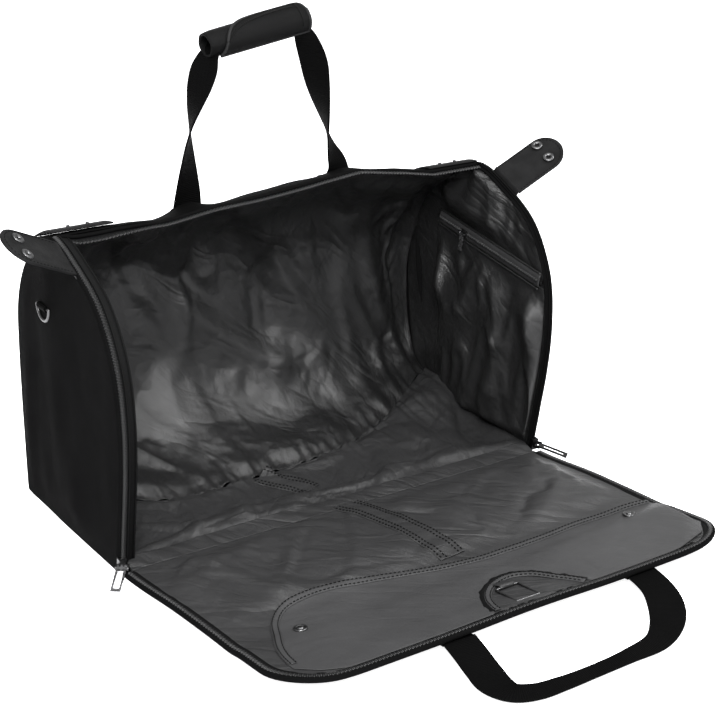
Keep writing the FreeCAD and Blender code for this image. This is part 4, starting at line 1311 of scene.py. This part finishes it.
def flap_pocket(lining):
    """Slip pocket across the flap's far part, with a half-oval opening at its edge."""
    hem = smooth(POCKET_HEM, 240)
    notch = smooth(NOTCH, 120)
    grid = pocket_grid(hem, notch, 46, 150)
    grid[..., 2] = np.maximum(grid[..., 2], laid_on(grid, lining, 0.0012)[..., 2])
    piece = grid_piece("flap_pocket_cloth", grid)
    thickened(piece, THIN, 1.0, 1)
    surface = surface_of(piece)
    dress(piece, POCKET_SATIN_PAINTED_LIGHT, None, ["flap_pocket_panel", "flap_pocket_hem"])
    cross_fold(piece)
    hem_trim(hem, "pocket_hem", 0.0095, surface)
    opening = notch[notch[:, 1] > -0.4300]
    hem_trim(opening, "notch_hem", 0.0085, surface)
    notch_painted_shade(opening, lining)
    return surface


def offset_plan(plan, distance):
    along = unit(np.gradient(plan, axis=0))
    return plan + np.column_stack([along[:, 1], -along[:, 0]]) * distance


def notch_painted_shade(notch, surface):
    """Dark gathered strip just inside the pocket's opening: painted shade, where the opening falls into
    shadow.
    """
    plan = resampled(notch, 150)
    ripple = relief(np.column_stack([arc_lengths(plan), np.zeros((150, 2))]), 130, 97)
    lines = []
    for share, gap in ((0.001, 0.0012), (-0.001, 0.0018), (-0.003, 0.0010), (-0.0055, 0.0006)):
        edge = offset_plan(plan, share * (1 + 0.2 * ripple[:, None]))
        line = laid_on(np.column_stack([edge, np.zeros(len(edge))]), surface, gap)
        line[:, 2] += 0.0010 * np.maximum(ripple, 0)
        lines.append(line)
    piece = grid_piece("pocket_opening_painted_shade", np.stack(lines))
    thickened(piece, 0.0006, 0.0, 1)
    dress(piece, TAPE, "flap_end")


def on_plan(plan, surface, gap):
    """A line drawn in plan, let down on to a surface and smoothed."""
    points = laid_on(np.column_stack([plan, np.zeros(len(plan))]), surface, gap)
    points[:, 2] = np.convolve(np.pad(points[:, 2], 2, "edge"), np.ones(5) / 5, "valid")
    return points


HEM_SECTION = [(0.06, 0.0004), (0.3, 0.0014), (0.7, 0.0013), (1, 0.0002)]


def hem_trim(plan, name, width, surface):
    """A turned hem: a flat roll with two rows of stitches."""
    plan = resampled(plan, 160)
    lines = [on_plan(offset_plan(plan, width * share), surface, lift) for share, lift in HEM_SECTION]
    piece = grid_piece(name, np.stack(lines))
    thickened(piece, THIN, 0.0, 1)
    dress(piece, POCKET_SATIN_PAINTED_LIGHT, None, ())
    cross_fold(piece)
    rows = [stitches(name + "_row_%d" % n, on_plan(offset_plan(plan, d), surface, 0.0018))
            for n, d in enumerate((width * 0.2, width * 0.8))]
    sewn = joined(name + "_stitching", rows)
    dress(sewn, THREAD)
    cross_fold(sewn)


BAND_SECTION = [(-0.0175, 0.0002), (-0.0155, 0.0008), (-0.012, 0.0014), (-0.008, 0.0006), (0.0, 0.0009),
                (0.008, 0.0006), (0.012, 0.0014), (0.0155, 0.0008), (0.0175, 0.0002)]


FLOOR_BAND = [(-0.048, -0.020), (-0.030, -0.050), (-0.014, -0.080)]
FLAP_BAND = [(-0.008, -0.112), (0.006, -0.150), (0.014, -0.200), (0.026, -0.296)]
BAND_ROWS = (-0.0150, -0.0090, 0.0090, 0.0150)


def centre_band(floor_surface, flap_surface):
    """The double-sewn band that runs over the floor and on to the flap."""
    parts = ((FLOOR_BAND, floor_surface, "floor", "bag_body"),
             (FLAP_BAND, flap_surface, "flap", "front_flap"))
    for plan, surface, where, body in parts:
        middle = smooth(plan, 60)
        lines = [on_plan(offset_plan(middle, d), surface, lift) for d, lift in BAND_SECTION]
        piece = grid_piece(where + "_band_cloth", np.stack(lines)[::-1])
        thickened(piece, THIN, 0.0, 1)
        dress(piece, FLAP_LINING_PAINTED_LIGHT, body, [where + "_stitched_band"])
        rows = [stitches("band_row", on_plan(offset_plan(middle, d), surface, 0.0018), radius=0.0007)
                for d in BAND_ROWS]
        dress(joined(where + "_band_stitching", rows), THREAD, body)


def ring_mesh(name, centre, normal, radii, heights, sides=36):
    """A turned part from rings of given radii and heights about an axis."""
    normal = unit(np.asarray(normal, float))
    side = unit(np.cross(normal, [0.3, 1.0, 0.2]))
    other = np.cross(normal, side)
    angles = np.linspace(0, 2 * math.pi, sides, endpoint=False)
    centre = np.asarray(centre)
    rings = [[centre + normal * h + (side * math.cos(a) + other * math.sin(a)) * r for a in angles]
             for r, h in zip(radii, heights)]
    points = np.array(rings)
    return mesh_piece(name, points.reshape(-1, 3), grid_faces(len(radii), sides, close=True), grid_uv(points))


def pocket_snaps(surface):
    """Snap caps at the pocket's two corners."""
    low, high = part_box("pocket_snaps")
    normal = (0, math.sin(FLAP_TILT), math.cos(FLAP_TILT))
    y = (low.y + high.y) / 2
    parts = []
    for x in (low.x + 0.007, high.x - 0.007):
        radii = [0.0072, 0.0074, 0.0068, 0.0050, 0.0044, 0.0034, 0.0030, 0.0022, 0.0004]
        heights = [0.0, 0.0008, 0.0016, 0.0017, 0.0010, 0.0010, 0.0020, 0.0023, 0.0023]
        seat = laid_on([[x, y, low.z]], surface, 0.0002)[0]
        parts.append(ring_mesh("snap", seat, normal, radii, heights))
    dress(joined("pocket_snap_caps", parts), GUNMETAL, "flap_end", ["pocket_snaps"])


def hanger_tab():
    """Cloth loop that holds the hanger ring."""
    low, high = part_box("hanger_ring_tab")
    x = np.linspace(low.x + 0.001, high.x - 0.001, 10)
    y = np.linspace(high.y, low.y + 0.001, 14)
    heights = [low.z + 0.003, high.z, high.z - 0.0006, low.z + 0.0012]
    z = np.interp(y, [low.y, low.y + 0.0026, low.y + 0.0055, high.y], heights)
    points = np.array([[(a, b, c) for a in x] for b, c in zip(y, z)])
    piece = grid_piece("hanger_loop_cloth", points)
    thickened(piece, 0.0012, 0.0, 1)
    dress(piece, FLAP_LINING_PAINTED_LIGHT, "flap_end", ["hanger_ring_tab"])


# ---- leather ----
TABS = ((-1, "left", math.radians(28)), (1, "right", math.radians(23)))
TAB_LENGTH = 0.082
TAB_WIDTH = 0.050
SOCKET_AT = 0.0575                                 # from the tab's root to its sockets
TAB_SECTION = [(1.0, -0.0011), (1.0, 0.0008), (0.985, 0.0013), (0.93, 0.0014), (0.86, 0.0011), (0.4, 0.0012)]
PATCH_SPAN = (0.206, 0.2765)                       # from the bag's middle to a patch's two edges
LOOP_X, LOOP_Y, LOOP_Z = 0.2846, 0.019, 0.254      # middle of a ring loop's turn
LOOP_RADIUS = 0.0031


def tab_plan(length, width, step):
    """Outline of a tab: square at its root and round at its tip."""
    radius = width / 2
    angles = np.linspace(-math.pi / 2, math.pi / 2, 24)
    tip = [(length - radius + radius * math.cos(a), radius * math.sin(a)) for a in angles]
    side = [(u, -radius) for u in np.arange(0.0, length - radius, step)]
    return side + tip + [(u, -v) for u, v in reversed(side)]


def tab_frame(name, side, rest):
    joint = JOINTS[name + "_tab_fold"]
    across = np.array(joint["axis"], float)
    across = unit(across * np.sign(across[1]))
    up = np.array([0.0, -across[2], across[1]])
    along = np.array([side * math.cos(rest), 0, 0]) + up * math.sin(rest)
    normal = np.cross(along, across) * side
    return np.array(joint["pos_m"]), along, across, normal


def tab_lean(side, u, across, normal):
    """How far the leather slants at its root; the right tab leaves its seam further forward."""
    lean = 0.010 * (1 - u / TAB_LENGTH) * (side > 0)
    return -across * lean - normal * lean * 0.4


def snap_tab(name, side, rest):
    origin, along, across, normal = tab_frame(name, side, rest)
    outline = np.array(tab_plan(TAB_LENGTH, TAB_WIDTH, 0.006))
    middle = np.array([TAB_LENGTH * 0.5, 0.0])
    rings = []
    for share, height in TAB_SECTION:
        plan = middle + (outline - middle) * share
        rings.append([origin + along * max(u, 0.0004) + across * v + normal * height
                      + tab_lean(side, u, across, normal) for u, v in plan])
    top = [origin + along * middle[0] + normal * 0.0012]
    count = len(outline)
    faces = grid_faces(len(rings), count, close=True)
    last = (len(rings) - 1) * count
    faces += [(last + j, last + (j + 1) % count, len(rings) * count) for j in range(count)]
    faces += [tuple(range(count))[::-1]]
    piece = mesh_piece(name + "_tab_leather", [p for ring in rings for p in ring] + top, faces)
    dress(piece, LEATHER, name + "_tab", [name + "_snap_tab"])
    seam = middle + (outline - middle) * 0.895
    path = [origin + along * u + across * v + normal * 0.0014 + tab_lean(side, u, across, normal)
            for u, v in seam if u > 0.004]
    sewn = stitches(name + "_tab_stitching", resampled(np.array(path), 160), 0.003, 0.0014)
    dress(sewn, THREAD, name + "_tab")


def tab_sockets(name, side, rest):
    origin, along, across, normal = tab_frame(name, side, rest)
    parts = []
    for v in (-0.012, 0.012):
        at = origin + along * SOCKET_AT + across * v
        radii = [0.0066, 0.0068, 0.0060, 0.0042, 0.0028, 0.0024, 0.0022]
        heights = [0.0010, 0.0019, 0.0026, 0.0027, 0.0022, 0.0010, -0.0003]
        parts.append(ring_mesh("socket", at, normal, radii, heights))
        parts.append(ring_mesh("socket", at, -normal, radii[:5] + [0.0004], heights[:5] + [0.0020]))
    piece = joined(name + "_socket_rings", parts)
    dress(piece, GUNMETAL, name + "_tab", [name + "_tab_sockets"])


def stud_patches():
    """Leather patches on the top, with stitching round them."""
    leathers = []
    rows = []
    x0, x1 = PATCH_SPAN
    for side in (-1, 1):
        x = np.linspace(x0, x1, 24) * side
        s = np.linspace(RIDGE - 0.048, RIDGE - 0.002, 18)
        border = np.minimum.outer(np.minimum(s - s[0], s[-1] - s), np.minimum(abs(x) - x0, x1 - abs(x)))
        grid = []
        for i, distance in enumerate(s):
            height = -0.0024 - 0.0010 * ease(border[i], 0, 0.003)
            yz = dome(np.full(len(x), distance), height)
            grid.append(np.column_stack([x, yz]))
        grid = np.array(grid)
        part = grid_piece("patch", grid if side > 0 else grid[:, ::-1])
        leathers.append(thickened(part, 0.0016, -1.0))
        inset = 0.004
        corners = [(x0 + inset, s[0] + inset), (x1 - inset, s[0] + inset), (x1 - inset, s[-1] - inset),
                   (x0 + inset, s[-1] - inset), (x0 + inset, s[0] + inset)]
        line = resampled(np.array(corners), 120)
        yz = dome(line[:, 1], np.full(len(line), -0.0036))
        rows.append(stitches("patch_row", np.column_stack([line[:, 0] * side, yz]), 0.003, 0.0014))
    dress(joined("stud_patch_leather", leathers), LEATHER, "bag_body", ["stud_patches"])
    dress(joined("stud_patch_stitching", rows), THREAD, "bag_body")


def tab_roots():
    """Leather sewn to the ends, under the tabs' hinges."""
    parts = []
    for side, name, rest in TABS:
        origin, _, across, _ = tab_frame(name, side, rest)
        up = np.array([0.0, -across[2], across[1]])
        grid = []
        for h in np.append(np.linspace(-0.030, 0.0, 12), [0.0008]):
            narrow = 0.72 + 0.28 * float(ease(h, -0.030, -0.010))
            lift = 0.0014 + 0.0026 * float(ease(h, -0.008, -0.001)) + (0.0018 if h > 0 else 0.0)
            row = [np.array([side * (END_X + lift), 0, 0]) + across * v * narrow + up * h
                   + np.array([0, origin[1], origin[2]]) + tab_lean(side, 0.0, across, up * 0.4)
                   for v in np.linspace(-0.025, 0.025, 12)]
            grid.append(row)
        grid = np.array(grid)
        part = grid_piece("root", grid if side < 0 else grid[:, ::-1])
        parts.append(thickened(part, 0.0014, 0.0, 1))
    dress(joined("tab_root_leather", parts), LEATHER, "bag_body", ["tab_roots"])


def ring_loops():
    """Webbing loops that hold the strap rings."""
    angles = np.linspace(math.pi * 0.75, -math.pi * 0.75, 16)
    turn = [(LOOP_X + LOOP_RADIUS * math.cos(a), LOOP_Z + LOOP_RADIUS * math.sin(a)) for a in angles]
    above = [(0.2812, LOOP_Z + 0.030), (0.2812, LOOP_Z + 0.016), (0.2822, LOOP_Z + 0.008)]
    line = resampled(np.array(above + turn + [(0.2811, LOOP_Z - 0.006)]), 40)
    y = np.linspace(-0.011, 0.011, 8) + LOOP_Y
    parts = []
    for side in (-1, 1):
        grid = np.array([[(side * x, across, z) for across in y] for x, z in line])
        part = grid_piece("loop", grid if side > 0 else grid[:, ::-1])
        parts.append(thickened(part, 0.0012, 0.0, 1))
    dress(joined("ring_loop_webbing", parts), WEBBING, "bag_body", ["ring_loops"])


# ---- end pocket ----
def end_pocket():
    """Zipped pocket sewn on the right end's lining."""
    columns, rows = 60, 60
    y = np.linspace(0.072, -0.140, columns)
    top = zip_height(y) - 0.006
    front = dome(np.linspace(DOME_AT[-1], RIDGE, 300), 0.0062)
    points = []
    for v in np.linspace(0, 1, rows):
        z = 0.009 + (top - 0.009) * v
        limit = np.interp(z, front[:, 1], front[:, 0])
        points.append(np.column_stack([np.full(columns, 0.0), np.maximum(y, limit), z]))
    points = np.array(points)
    u = over(columns)
    v = down(rows)
    free = clear_of(u, 0.08, 0.06) * ease(v, 0, 0.08) * ease(1 - v, 0.02, 0.20)
    tall = 1 - 2.4 * np.abs(relief(points, 13, 101, (1, 1, 0.35)))
    short = 1 - 2.4 * np.abs(relief(points, 34, 105, (1, 1, 0.4)))
    height = 0.0015 + 0.013 * np.maximum(tall, 0) + 0.005 * np.maximum(short, 0)
    points[..., 0] = POCKET_X - 0.0002 - height * free
    piece = grid_piece("end_pocket_cloth", points[:, ::-1])
    inward = np.tile([-1.0, 0.0, 0.0], (rows * columns, 1))
    slack(piece, border_pins(rows, columns, 0.06), 0.035, 0.006, inward)
    clamp_x(piece, 1, POCKET_X - 0.0012)
    thickened(piece, 0.0007, 0.0, 1)
    dress(piece, LINING, "bag_body", ["end_pocket_panel"])


def end_pocket_zip():
    """Tape, coil and rolled edges of the end pocket's zip."""
    line = np.array([ZIP_BACK + (ZIP_FRONT - ZIP_BACK) * t for t in np.linspace(0, 1, 80)])
    path = np.column_stack([np.full(80, POCKET_X - 0.0030), line])
    inwards = np.tile([-1.0, 0.0, 0.0], (80, 1))
    above = unit(np.array([0, -(ZIP_FRONT - ZIP_BACK)[1], (ZIP_FRONT - ZIP_BACK)[0]]))
    above = above if above[2] > 0 else -above
    tape = np.stack([path + above * d + inwards * h for d, h in
                     ((-0.009, -0.0012), (-0.0045, 0.0003), (0.0045, 0.0003), (0.010, -0.0012))])
    piece = grid_piece("end_pocket_zip_tape", tape)
    thickened(piece, 0.0009, 0.0)
    dress(piece, POCKET_TAPE, "bag_body", ["end_pocket_tape"])
    coil = teeth("end_pocket_zip_coil", path + inwards * 0.0004, inwards, 0.0040, 0.0020, 0.0014)
    dress(coil, COIL, "bag_body", ["end_pocket_coil"])
    rolls = [tube("roll", path + above * d, 0.0011) for d in (-0.0098, 0.0104)]
    dress(joined("end_pocket_zip_edges", rolls), LINING, "bag_body", ())


# ---- CAD pieces that keep their shape ----
METAL_NODES = (
    (GUNMETAL, ("patch_studs", "left_strap_ring", "right_strap_ring", "hanger_ring", "left_zip_slider",
                "end_pocket_slider", "end_pocket_stops")),
    # The right zip's slider and pull take a darker metal than the left zip's.
    (DARKER_METAL, ("right_zip_slider", "right_zip_pull")),
    (SILVER, ("left_zip_pull", "end_pocket_pull")))


def metal_nodes():
    """Metal and slightly rounded edges for the CAD's own metal parts."""
    for material, nodes in METAL_NODES:
        for node in nodes:
            mesh = NODES[node].data
            mesh.materials.clear()
            mesh.materials.append(material)
            bevel = NODES[node].modifiers.new("edges", "BEVEL")
            bevel.width = 0.00035
            bevel.segments = 2
            bevel.limit_method = "ANGLE"


# ---- studio ----
def floor():
    mesh = bpy.data.meshes.new("studio_floor")
    size = 12.0
    corners = [(-size, -size, 0), (size, -size, 0), (size, size, 0), (-size, size, 0)]
    mesh.from_pydata(corners, [], [(0, 1, 2, 3)])
    piece = bpy.data.objects.new("studio_floor", mesh)
    bpy.context.scene.collection.objects.link(piece)
    piece.location.z = CAD_BOX[0].z - 0.0005
    made = Finish("studio_floor", 0.85, 0.9, 0.1)
    made.set(made.shader, "Emission Color", (1, 1, 1, 1))
    made.set(made.shader, "Emission Strength", 0.9)
    made.bump(made.noise("Object", (8, 8, 8), 2), 0.02, 0.001)
    mesh.materials.append(made.material)


def area_light(name, place, target, size, power):
    light = bpy.data.lights.new(name, "AREA")
    light.size = size
    light.energy = power
    lamp = bpy.data.objects.new(name, light)
    bpy.context.scene.collection.objects.link(lamp)
    lamp.location = place
    lamp.rotation_euler = (Vector(target) - Vector(place)).to_track_quat("-Z", "Y").to_euler()


def studio():
    world = bpy.data.worlds.new("studio")
    world.use_nodes = True
    background = world.node_tree.nodes["Background"]
    background.inputs["Color"].default_value = (1, 1, 1, 1)
    background.inputs["Strength"].default_value = 1.0
    bpy.context.scene.world = world
    bpy.context.scene.view_settings.view_transform = "Standard"
    area_light("key", (-1.0, -1.7, 1.7), (0.1, -0.1, 0.12), 0.8, 150)
    area_light("side", (1.3, -0.9, 2.0), (0, -0.1, 0.1), 0.8, 60)
    area_light("top", (-0.3, -0.4, 2.5), (0, -0.1, 0.0), 0.7, 40)


TARGET = Vector((0, -0.120, 0.120))
AZIMUTH = math.radians(-33.5)
ELEVATION = math.radians(22.9)
DISTANCE = 1.7413
LENS = 78.475
SHIFT = (0.0257, 0.0771)


def camera():
    data = bpy.data.cameras.new("camera")
    data.sensor_width = 36
    data.lens = LENS
    data.shift_x, data.shift_y = SHIFT
    made = bpy.data.objects.new("camera", data)
    bpy.context.scene.collection.objects.link(made)
    level = math.cos(ELEVATION)
    back = Vector((math.sin(AZIMUTH) * level, -math.cos(AZIMUTH) * level, math.sin(ELEVATION)))
    made.location = TARGET + back * DISTANCE
    made.rotation_euler = (-back).to_track_quat("-Z", "Y").to_euler()
    bpy.context.scene.camera = made


def build():
    base_cloth()
    shell = back_shell()
    back_lining()
    corner_opening()
    floor_surface = floor_lining()
    for side, name in ((-1, "left"), (1, "right")):
        end_panel(side, name)
        end_lining(side, name)
    side_zips()
    ridge_zip()
    top_strip()
    stud_patches()
    tab_roots()
    ring_loops()
    back_handle()
    handle_anchors(shell)
    grip_pad()
    grip_flap()
    front_handle()
    flap_outer()
    flap_surface = flap_lining()
    hinge_strip(floor_surface, flap_surface)
    flap_zip()
    pocket_surface = flap_pocket(flap_surface)
    centre_band(floor_surface, flap_surface)
    pocket_snaps(pocket_surface)
    hanger_tab()
    for side, name, rest in TABS:
        snap_tab(name, side, rest)
        tab_sockets(name, side, rest)
    end_pocket()
    end_pocket_zip()
    metal_nodes()
    front_anchors()


floor()
studio()
camera()
build()
